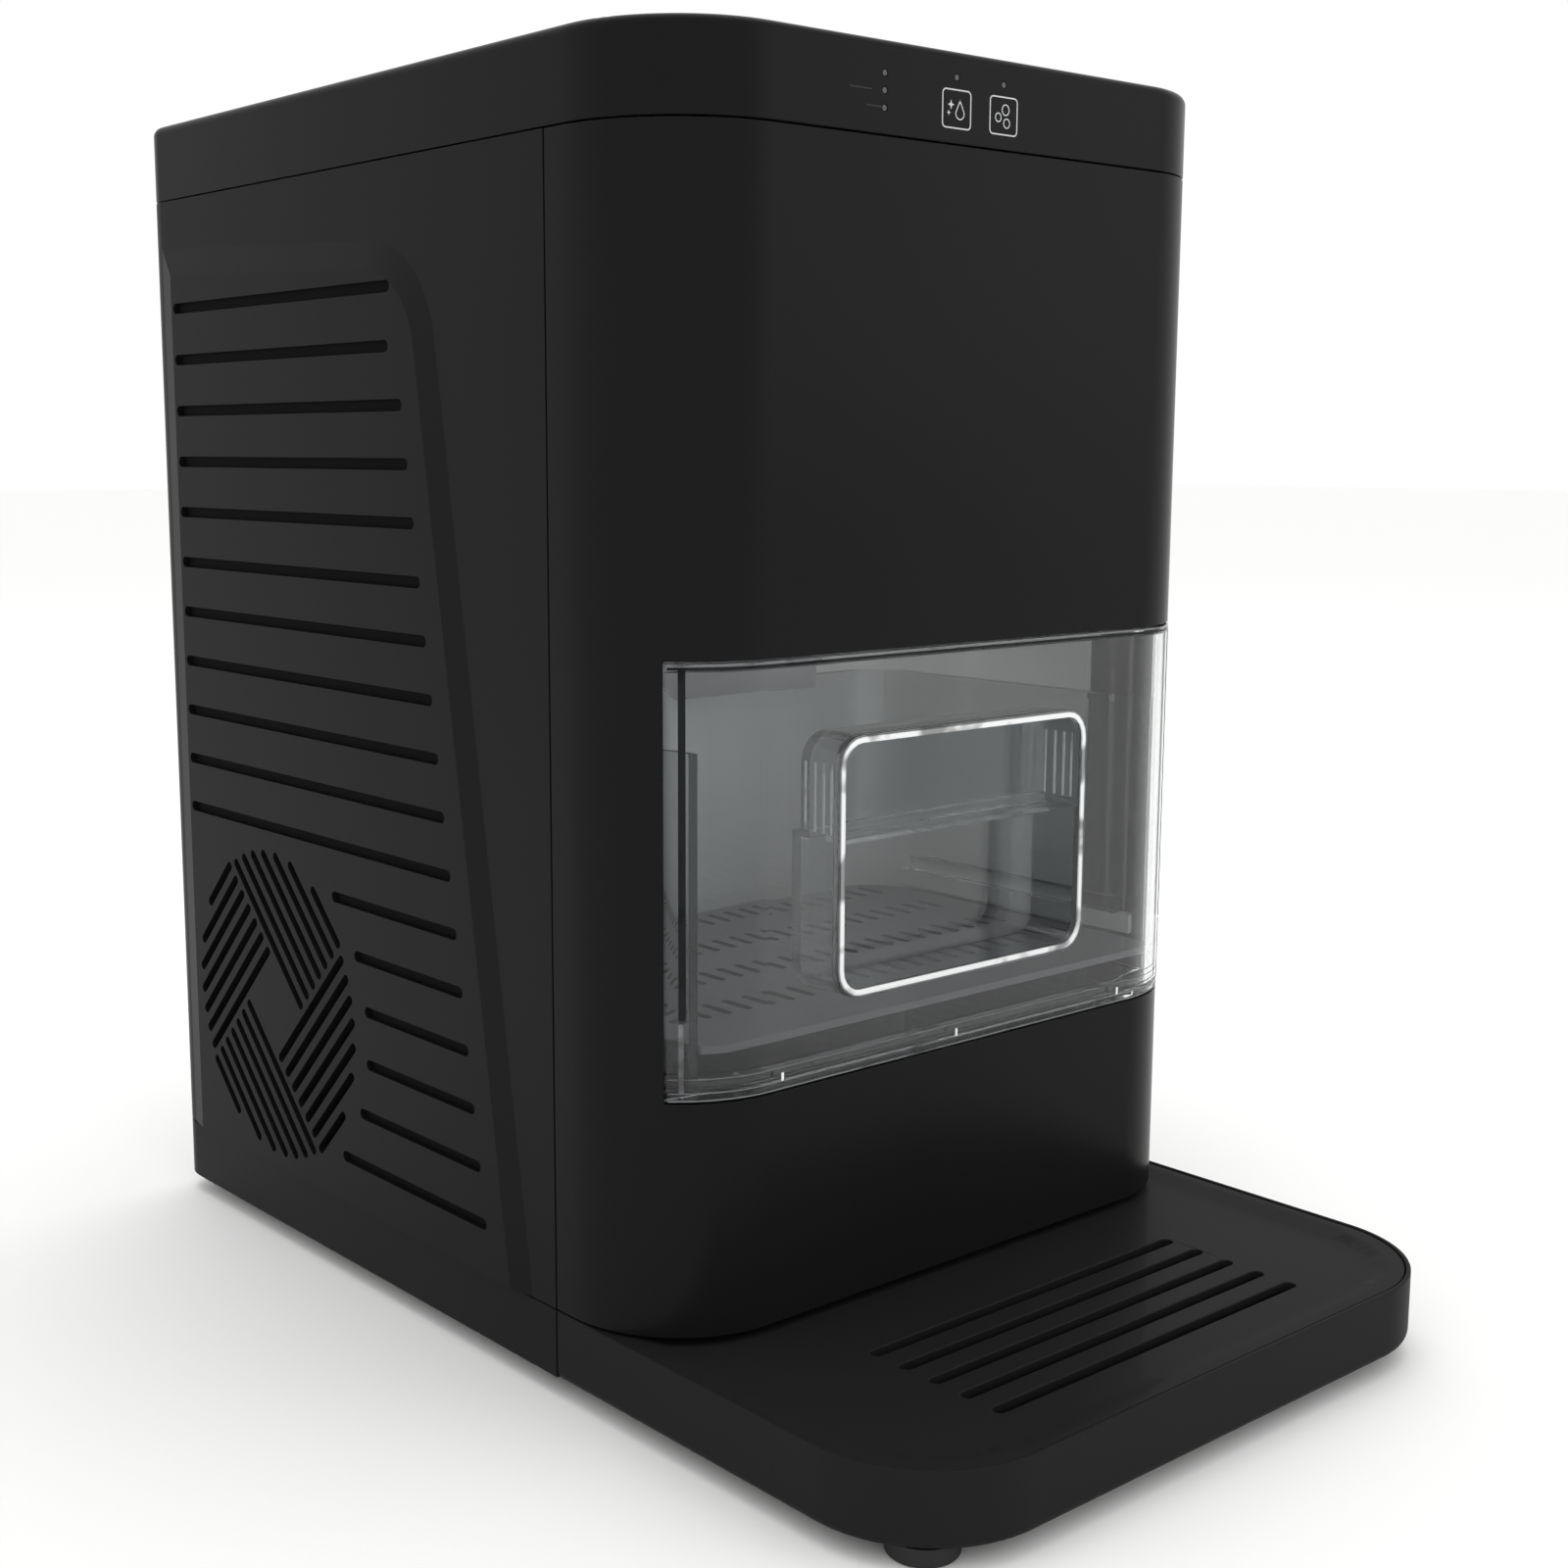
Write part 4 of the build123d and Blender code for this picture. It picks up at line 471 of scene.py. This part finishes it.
def painted_groove_shade(node, side, material):
    """Rougher floors for a side panel's grooves, laid a little proud of its mesh; their darker colour is
    painted shade in the recesses.
    """
    low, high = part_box(node)
    plane = low.x + GROOVE_DEPTH if side < 0 else high.x - GROOVE_DEPTH
    bm = merged_copy(node)
    others = [face for face in bm.faces
              if abs(face.normal.x) < 0.99 or abs(face.calc_center_median().x - plane) > 0.05 * MM]
    bmesh.ops.delete(bm, geom=others, context="FACES")
    made = bmesh.ops.extrude_face_region(bm, geom=list(bm.faces), use_keep_orig=True)["geom"]
    bmesh.ops.translate(bm, verts=verts_of(made), vec=(side * 0.06 * MM, 0, 0))
    bmesh.ops.recalc_face_normals(bm, faces=bm.faces)
    return make_piece(bm, node + "_painted_groove_shade", BODY_OF[node], material, flat_first=False)


def paint(material, *nodes):
    """Gives CAD nodes, whose shape is right as it is, their finish."""
    for node in nodes:
        obj = frame["nodes"][node]
        if not obj.data.materials:
            obj.data.materials.append(material)
        for slot in obj.material_slots:
            slot.material = material


def upright(bm, verts, x, z, y, depth):
    """Stands flat artwork up on the cover's face and gives it the thickness of ink."""
    bmesh.ops.rotate(bm, verts=verts, cent=(0, 0, 0), matrix=Matrix.Rotation(radians(90), 3, "X"))
    bmesh.ops.translate(bm, verts=verts, vec=(x, y, z))
    faces = list({face for vert in verts for face in vert.link_faces})
    made = bmesh.ops.extrude_face_region(bm, geom=faces)["geom"]
    bmesh.ops.translate(bm, verts=verts_of(made), vec=(0, -depth, 0))


def outline(bm, faces, line):
    """Leaves only a line of this width along the edge of each face."""
    bmesh.ops.inset_individual(bm, faces=faces, thickness=line, use_even_offset=True)
    bmesh.ops.delete(bm, geom=faces, context="FACES")


def key_frame(width, height, corner, line):
    """The printed frame of a touch key: a rounded square drawn as a line."""
    bm = bmesh.new()
    bmesh.ops.create_grid(bm, x_segments=1, y_segments=1, size=0.5)
    bmesh.ops.scale(bm, verts=bm.verts, vec=(width, height, 1))
    bmesh.ops.bevel(bm, geom=list(bm.verts), offset=corner, segments=5, profile=0.5,
                    affect="VERTICES", material=-1)
    outline(bm, list(bm.faces), line)
    return bm


def rim_bead(low, high, corner, line, depth):
    """A bead along a rounded rectangle on the drawer's face, given by two corners in X and Z."""
    bm = key_frame(high.x - low.x, high.z - low.z, corner, line)
    upright(bm, list(bm.verts), (low.x + high.x) / 2, (low.z + high.z) / 2, low.y, depth)
    bmesh.ops.recalc_face_normals(bm, faces=bm.faces)
    ease_edges(bm, line * 0.25)
    return bm


def bar(bm, low, high):
    """Adds a plain bar between two corners."""
    made = bmesh.ops.create_cube(bm, size=1.0)["verts"]
    bmesh.ops.scale(bm, verts=made, vec=high - low)
    bmesh.ops.translate(bm, verts=made, vec=(low + high) / 2)
    return made


def end_post(bm, side, offset, width, z0, z1):
    """Adds an upright strip on the drawer's turned-back end, this far in from the edge."""
    low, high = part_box("front_panel")
    flat = high.x - CASING_CORNER
    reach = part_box("drawer_front")[1].x
    angle = asin((reach - flat) / CASING_CORNER) - (offset + width / 2) / CASING_CORNER
    made = bar(bm, Vector((side * flat - width / 2, low.y - 0.16 * MM, z0)),
               Vector((side * flat + width / 2, low.y + 0.1 * MM, z1)))
    bmesh.ops.rotate(bm, verts=made, cent=(side * flat, low.y + CASING_CORNER, 0),
                     matrix=Matrix.Rotation(side * angle, 3, "Z"))


def face_strip(z, height, inset, depth, reach):
    """A thin strip that follows the drawer's front: flat in the middle, turned back at both ends."""
    low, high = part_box("front_panel")
    radius = CASING_CORNER - inset
    flat = high.x - CASING_CORNER
    front = low.y + inset
    bm = bmesh.new()
    corners = [(0, front, z), (0, front + depth, z), (0, front + depth, z + height), (0, front, z + height)]
    section = bm.faces.new([bm.verts.new(corner) for corner in corners])
    turn = asin((reach - flat) / radius)
    for side in (-1, 1):
        made = bmesh.ops.extrude_face_region(bm, geom=[section], use_keep_orig=True)["geom"]
        verts = verts_of(made)
        end = [item for item in made if isinstance(item, bmesh.types.BMFace)]
        bmesh.ops.translate(bm, verts=verts, vec=(side * flat, 0, 0))
        bmesh.ops.spin(bm, geom=end + list({edge for face in end for edge in face.edges}) + verts,
                       cent=(side * flat, front + radius, 0), axis=(0, 0, 1), angle=side * turn, steps=14)
    bmesh.ops.remove_doubles(bm, verts=bm.verts, dist=1e-6)
    bmesh.ops.recalc_face_normals(bm, faces=bm.faces)
    return bm


def drawer_painted_light_piece(bm, name, material, flat_first=False):
    """A thin piece on the clear drawer in one of the painted-light tints: highlight, highlight line, dark
    reflection.
    """
    make_piece(bm, name, "drawer", material, flat_first=flat_first)


def handle_painted_light(rim, edge, painted_line_light):
    """Painted highlights round the handle pocket: a thin grey line along its outer edge, a bright rim inside
    that, and bright bars in its upper corners in place of streaks of bent light.
    """
    low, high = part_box("handle_pocket")
    pull = 0.35 * MM
    line = POCKET_WALL - rim
    clear_of = Vector((0, 0.02 * MM, 0))
    outer = rim_bead(low - clear_of, high, POCKET_CORNER, line * 0.8, pull)
    drawer_painted_light_piece(outer, "handle_rim_painted_line", painted_line_light, flat_first=True)
    inset = Vector((line, 0, line))
    inner = rim_bead(low + inset - clear_of, high - inset, POCKET_CORNER - line, rim, pull)
    drawer_painted_light_piece(inner, "handle_rim_painted_highlight", edge, flat_first=True)
    ribs = bmesh.new()
    step = low.z + POCKET_STEP
    for back in (4.5, 8.0, 12.0, 16.5):
        for x in (low.x - 0.3 * MM, high.x - POCKET_WALL - 0.3 * MM):
            bar(ribs, Vector((x, low.y + back * MM, step + 3 * MM)),
                Vector((x + 0.25 * MM, low.y + (back + 0.9) * MM, high.z - 9 * MM)))
    drawer_painted_light_piece(ribs, "handle_painted_glint_bars", edge)


def drawer_face_painted_light(edge, painted_line_light, dark):
    """Painted highlights and painted dark reflections on the drawer's clear front: thin strips along its
    top, lip and bottom, upright strips on its turned-back ends, and glints by the clips.
    """
    low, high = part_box("drawer_front")
    strips = [
        ("drawer_top_painted_highlight", high.z - 0.6 * MM, 0.45 * MM, painted_line_light),
        ("drawer_top_painted_dark_reflection", high.z - 1.9 * MM, 0.9 * MM, dark),
        ("drawer_lip_painted_highlight", low.z + 2.7 * MM, 0.3 * MM, painted_line_light),
        ("drawer_rail_painted_highlight", low.z + 7.2 * MM, 0.25 * MM, painted_line_light),
        ("drawer_low_painted_highlight", low.z + 0.3 * MM, 0.4 * MM, painted_line_light),
    ]
    for name, z, height, tone in strips:
        strip = face_strip(z, height, -0.15 * MM, 0.17 * MM, high.x)
        drawer_painted_light_piece(strip, name, tone, flat_first=True)
    rebates = bmesh.new()
    ends = bmesh.new()
    for side in (-1, 1):
        end_post(rebates, side, 3.4 * MM, 2.3 * MM, low.z + 26 * MM, high.z - 1.2 * MM)
        end_post(ends, side, 3.4 * MM, 1.6 * MM, low.z + 3 * MM, low.z + 25 * MM)
    drawer_painted_light_piece(rebates, "drawer_end_painted_dark_reflections", dark)
    drawer_painted_light_piece(ends, "drawer_end_painted_highlights", painted_line_light)
    clips = bmesh.new()
    for x in CLIPS_X:
        bar(clips, Vector((x * MM, low.y - 0.12 * MM, low.z + 2.8 * MM)),
            Vector(((x + 1.0) * MM, low.y + 0.1 * MM, low.z + 5.6 * MM)))
    drawer_painted_light_piece(clips, "drawer_clip_painted_glints", edge)


def ring_mark(radius, line, x, y):
    """A small printed ring."""
    bm = bmesh.new()
    bmesh.ops.create_circle(bm, cap_ends=True, segments=28, radius=radius)
    outline(bm, list(bm.faces), line)
    bmesh.ops.translate(bm, verts=bm.verts, vec=(x, y, 0))
    return bm


def drop_mark(radius, line, x, y):
    """A printed water drop: a circle whose upper half runs up to a point."""
    bm = bmesh.new()
    bmesh.ops.create_circle(bm, cap_ends=True, segments=28, radius=radius)
    for vert in bm.verts:
        rise = max(vert.co.y / radius, 0.0)
        vert.co.x *= 1.0 - 0.72 * rise ** 1.3 - 0.28 * rise ** 6
        vert.co.y += radius * 1.15 * rise ** 2
    outline(bm, list(bm.faces), line)
    bmesh.ops.translate(bm, verts=bm.verts, vec=(x, y, 0))
    return bm


def sparkle_mark(radius, x, y):
    """A printed four-pointed sparkle."""
    bm = bmesh.new()
    bmesh.ops.create_circle(bm, cap_ends=True, segments=8, radius=radius)
    bm.verts.ensure_lookup_table()
    for vert in list(bm.verts)[1::2]:
        vert.co *= 0.34
    bmesh.ops.translate(bm, verts=bm.verts, vec=(x, y, 0))
    return bm


def bar_mark(x0, x1, height):
    """A thin printed line."""
    bm = bmesh.new()
    bmesh.ops.create_grid(bm, x_segments=1, y_segments=1, size=0.5)
    bmesh.ops.scale(bm, verts=bm.verts, vec=(x1 - x0, height, 1))
    bmesh.ops.translate(bm, verts=bm.verts, vec=((x0 + x1) / 2, 0, 0))
    return bm


def print_on_cover(name, marks, x, z, material):
    """Prints a set of marks on the cover's front face."""
    whole = bmesh.new()
    for mark in marks:
        scrap = bpy.data.meshes.new("scrap")
        mark.to_mesh(scrap)
        mark.free()
        whole.from_mesh(scrap)
        bpy.data.meshes.remove(scrap)
    upright(whole, list(whole.verts), x, z, COVER_LOW.y + 0.02 * MM, 0.07 * MM)
    bmesh.ops.recalc_face_normals(whole, faces=whole.faces)
    return make_piece(whole, name, BODY_OF["top_cover"], material, flat_first=False)


# ---- operators ----
class Maker:
    bl_options = {"REGISTER"}

    def execute(self, context):
        self.build(context.scene.ice_maker)
        return {"FINISHED"}


class ICEMAKER_OT_casing(Maker, bpy.types.Operator):
    """Makes the moulded casing: front, sides, rear, cover, base and refill lid"""
    bl_idname = "icemaker.casing"
    bl_label = "Casing"

    def build(self, settings):
        casing = settings.casing
        front = moulded_abs("abs_satin_black", tuple(casing.black), casing.satin, casing.grain)
        side = moulded_abs("abs_textured_black", tuple(casing.side_black), casing.side_satin, casing.grain)
        for node in ("front_panel", "top_cover"):
            eased_shell(node, front, casing.edge)
        paint(front, "refill_lid")
        for node in ("rear_panel", "base_tub"):
            eased_shell(node, side, casing.edge)
        paint(side, "left_side_panel", "right_side_panel")
        # half the side black: painted shade on the floors of the side panels' grooves
        floor = moulded_abs("abs_groove_painted_shade", shade(tuple(casing.side_black), 0.5), 0.75, casing.grain)
        painted_groove_shade("left_side_panel", -1, floor)
        painted_groove_shade("right_side_panel", 1, floor)
        rubber = nitrile_rubber("nitrile_rubber_black", linear("141414"))
        paint(rubber, "base_feet", "tray_feet", "lid_seal", "compressor_mounts", "drain_cap")
        screw = zinc_screw("zinc_plated_screw", tuple(settings.works.zinc))
        paint(screw, "case_screws")
        inlet = moulded_abs("inlet_phenolic_black", linear("101011"), 0.3, casing.grain)
        paint(inlet, "power_inlet")


class ICEMAKER_OT_drip_tray(Maker, bpy.types.Operator):
    """Makes the drip tray and its slotted plate"""
    bl_idname = "icemaker.drip_tray"
    bl_label = "Drip tray"

    def build(self, settings):
        casing = settings.casing
        # the plate is polished, so it mirrors the front faintly; its tint is the casing black made 1.6 times
        # lighter, painted light that makes up for its weak specular
        tray = moulded_abs("abs_tray_black_painted_lighter", shade(tuple(casing.black), 1.6), 0.45, casing.grain, 0.02, 0.03)
        for node in ("tray_housing", "drip_grille"):
            eased_shell(node, tray, casing.edge)


class ICEMAKER_OT_controls(Maker, bpy.types.Operator):
    """Prints the touch keys and label lines, and finishes the indicator lights"""
    bl_idname = "icemaker.controls"
    bl_label = "Controls"

    def build(self, settings):
        keys = settings.controls
        ink = screen_ink("screen_ink_grey", tuple(keys.ink))
        dark = screen_ink("screen_ink_black", tuple(keys.label_ink))
        z = COVER_HIGH.z - keys.drop_below_top
        corner = 1.6 * MM
        thin = keys.line * 0.8
        rinse = [
            key_frame(keys.key_width, keys.key_height, corner, keys.line),
            drop_mark(2.1 * MM, thin, 1.5 * MM, -1.1 * MM),
            sparkle_mark(1.5 * MM, -2.6 * MM, 1.2 * MM),
            sparkle_mark(0.9 * MM, -3.6 * MM, -1.3 * MM),
        ]
        print_on_cover("rinse_key_print", rinse, keys.left_key, z, ink)
        ice = [
            key_frame(keys.key_width, keys.key_height, corner, keys.line),
            ring_mark(1.8 * MM, thin, 0.9 * MM, 1.9 * MM),
            ring_mark(1.5 * MM, thin, -2.5 * MM, -0.6 * MM),
            ring_mark(1.6 * MM, thin, 1.5 * MM, -2.2 * MM),
        ]
        print_on_cover("ice_key_print", ice, keys.right_key, z, ink)
        labels = [
            ("water_label_print", -58.4, -49.0, 15.6),
            ("bin_label_print", -51.4, -44.7, 20.4),
        ]
        for name, x0, x1, below in labels:
            bar = bar_mark(x0 * MM, x1 * MM, 0.4 * MM)
            print_on_cover(name, [bar], 0.0, COVER_HIGH.z - below * MM, dark)
        pipe = grey_polypropylene("acrylic_light_pipe", linear("2a2b2d"), 0.2)
        paint(pipe, "light_pipes")
        works = settings.works
        mask = tuple(works.mask)
        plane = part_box("control_board")[0].y + 11.3 * MM
        paint(circuit_board("control_solder_mask", mask, "Y", plane), "control_board")
        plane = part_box("power_board")[0].x + 3.8 * MM
        paint(circuit_board("power_solder_mask", mask, "X", plane), "power_board")


class ICEMAKER_OT_drawer(Maker, bpy.types.Operator):
    """Makes the clear ice drawer, its drain grid, the liner and the ice chute"""
    bl_idname = "icemaker.drawer"
    bl_label = "Ice drawer"

    def build(self, settings):
        drawer = settings.drawer
        clear = clear_styrene("styrene_clear", tuple(drawer.clear), drawer.bend)
        # the thin plate bends what is behind it less
        thin = clear_styrene("styrene_clear_thin", tuple(drawer.clear), 1.0 + (drawer.bend - 1.0) * 0.45)
        for node in ("drawer_front", "handle_pocket", "drawer_bin"):
            eased_shell(node, clear, drawer.edge)
        paint(thin, "grip_plate")
        # Painted light on the clear drawer: bright highlights, thin highlight lines, and dark reflections of
        # the black frame, set where clear styrene would bend the light.
        edge = painted_edge_light("styrene_polished_edge", tuple(drawer.polished))
        painted_line_light = painted_edge_light("styrene_painted_line_light", tuple(drawer.painted_line_light))
        dark = painted_edge_light("styrene_painted_dark_reflection", tuple(drawer.dark), 0.05)
        handle_painted_light(drawer.rim, edge, painted_line_light)
        drawer_face_painted_light(edge, painted_line_light, dark)
        paint(frosted_grid("styrene_frosted", tuple(drawer.grid)), "drain_grid")
        liner = grey_polypropylene("polypropylene_liner_grey", tuple(drawer.liner))
        paint(liner, "cavity_liner", "refill_basin")
        chute = grey_polypropylene("acetal_chute_grey", tuple(drawer.chute), 0.34)
        paint(chute, "ice_chute", "bin_sensor")
        foam = closed_cell_foam("closed_cell_foam_grey", linear("55575a"))
        paint(foam, "cavity_insulation", "barrel_jacket")


class ICEMAKER_OT_ice_works(Maker, bpy.types.Operator):
    """Finishes the frame, the auger and its drive"""
    bl_idname = "icemaker.ice_works"
    bl_label = "Auger and drive"

    def build(self, settings):
        works = settings.works
        sheet = galvanised_sheet("galvanised_steel_sheet", tuple(works.zinc))
        paint(sheet, "base_plate", "tank_shelf", "mid_shelf")
        steel = turned_steel("stainless_steel_turned", tuple(works.steel))
        paint(steel, "auger", "evaporator_barrel", "extruder_head", "drive_pinion")
        paint(steel, "lid_hinge_pins", "fan_shaft")
        bronze = sintered_bronze("bronze_sintered", linear("a8834a"))
        paint(bronze, "lower_bearing")
        natural = grey_polypropylene("polypropylene_natural", tuple(works.natural), 0.48)
        paint(natural, "gearbox_tray", "gearbox_cover", "water_tank", "tank_lid", "water_pump")
        acetal = grey_polypropylene("acetal_white", linear("e6e6e2"), 0.32)
        paint(acetal, "output_gear", "tank_float")


class ICEMAKER_OT_cooling(Maker, bpy.types.Operator):
    """Finishes the compressor, condenser, fan and refrigerant tubes"""
    bl_idname = "icemaker.cooling"
    bl_label = "Cooling"

    def build(self, settings):
        works = settings.works
        copper = drawn_copper("copper_drawn", tuple(works.copper))
        paint(copper, "evaporator_coil", "refrigerant_tubes", "condenser_coil", "filter_drier")
        paint(fin_stock("aluminium_fin_stock", tuple(works.aluminium)), "condenser_fins")
        enamel = stoved_enamel("stoved_enamel_black", tuple(works.enamel))
        paint(enamel, "compressor", "auger_motor", "fan_motor")
        nylon = grey_polypropylene("nylon_fan_grey", linear("9c9ea1"), 0.45)
        paint(nylon, "fan_impeller", "fan_shroud")
        hose = silicone_hose("silicone_hose_milky", tuple(works.silicone))
        paint(hose, "supply_hose", "fill_hose", "drain_hose")


class ICEMAKER_OT_studio(Maker, bpy.types.Operator):
    """Sets up the paper floor, the soft lights and the camera"""
    bl_idname = "icemaker.studio"
    bl_label = "Studio"

    def build(self, settings):
        studio = settings.studio
        scene = bpy.context.scene
        bm = bmesh.new()
        bmesh.ops.create_grid(bm, x_segments=2, y_segments=2, size=14.0)
        mesh = bpy.data.meshes.new("paper_floor")
        bm.to_mesh(mesh)
        bm.free()
        mesh.materials.append(paper_floor("studio_paper", tuple(studio.floor)))
        floor = bpy.data.objects.new("paper_floor", mesh)
        scene.collection.objects.link(floor)
        world = bpy.data.worlds.new("studio_sky")
        world.use_nodes = True
        sky = world.node_tree.nodes["Background"]
        sky.inputs["Color"].default_value = (1.0, 1.0, 1.0, 1.0)
        sky.inputs["Strength"].default_value = studio.sky
        scene.world = world
        aim = Vector((0.0, 0.0, 0.2))
        low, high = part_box("cavity_liner")
        bin_place = (low + high) / 2 + Vector((0, 0, 60 * MM))
        lights = [
            ("key_softbox", (-2.4, 1.5, 1.3), 1.8, studio.key_power),
            ("fill_softbox", (2.0, -2.5, 1.2), 1.8, studio.fill_power),
            ("top_softbox", (0.2, 0.4, 2.3), 2.2, studio.top_power),
            ("bin_light", bin_place, 120 * MM, studio.bin_power),
        ]
        for name, place, size, power in lights:
            light = bpy.data.lights.new(name, "AREA")
            light.shape = "SQUARE"
            light.size = size
            light.energy = power
            lamp = bpy.data.objects.new(name, light)
            lamp.location = place
            lamp.rotation_euler = (aim - Vector(place)).to_track_quat("-Z", "Y").to_euler()
            scene.collection.objects.link(lamp)
        lens = bpy.data.cameras.new("camera")
        lens.lens = studio.lens
        lens.sensor_width = 36.0
        lens.shift_x = 0.0503
        lens.shift_y = -0.0028
        camera = bpy.data.objects.new("camera", lens)
        camera.location = (-0.5132, -0.5786, 0.3072)
        camera.rotation_euler = (radians(81.028), 0.0, radians(-40.093))
        scene.collection.objects.link(camera)
        scene.camera = camera
        scene.view_settings.view_transform = "Standard"


class ICEMAKER_PT_panel(bpy.types.Panel):
    """Lists the makers and the sizes and colours they use"""
    bl_idname = "ICEMAKER_PT_panel"
    bl_label = "Ice maker"
    bl_space_type = "VIEW_3D"
    bl_region_type = "UI"
    bl_category = "Ice maker"

    def draw(self, context):
        settings = context.scene.ice_maker
        for maker in MAKERS:
            self.layout.operator(maker.bl_idname)
        for title in ("casing", "controls", "drawer", "works", "studio"):
            box = self.layout.box()
            box.label(text=title.capitalize())
            group = getattr(settings, title)
            for key in group.__annotations__:
                box.prop(group, key)


MAKERS = (
    ICEMAKER_OT_casing,
    ICEMAKER_OT_drip_tray,
    ICEMAKER_OT_controls,
    ICEMAKER_OT_drawer,
    ICEMAKER_OT_ice_works,
    ICEMAKER_OT_cooling,
    ICEMAKER_OT_studio,
)
GROUPS = (CasingSettings, ControlSettings, DrawerSettings, WorkSettings, StudioSettings, IceMakerSettings)


def register():
    for item in (*GROUPS, *MAKERS, ICEMAKER_PT_panel):
        bpy.utils.register_class(item)
    bpy.types.Scene.ice_maker = PointerProperty(type=IceMakerSettings)


def unregister():
    del bpy.types.Scene.ice_maker
    for item in reversed((*GROUPS, *MAKERS, ICEMAKER_PT_panel)):
        bpy.utils.unregister_class(item)


def main():
    register()
    bpy.ops.icemaker.casing()
    bpy.ops.icemaker.drip_tray()
    bpy.ops.icemaker.controls()
    bpy.ops.icemaker.drawer()
    bpy.ops.icemaker.ice_works()
    bpy.ops.icemaker.cooling()
    bpy.ops.icemaker.studio()


if __name__ == "__main__":
    main()
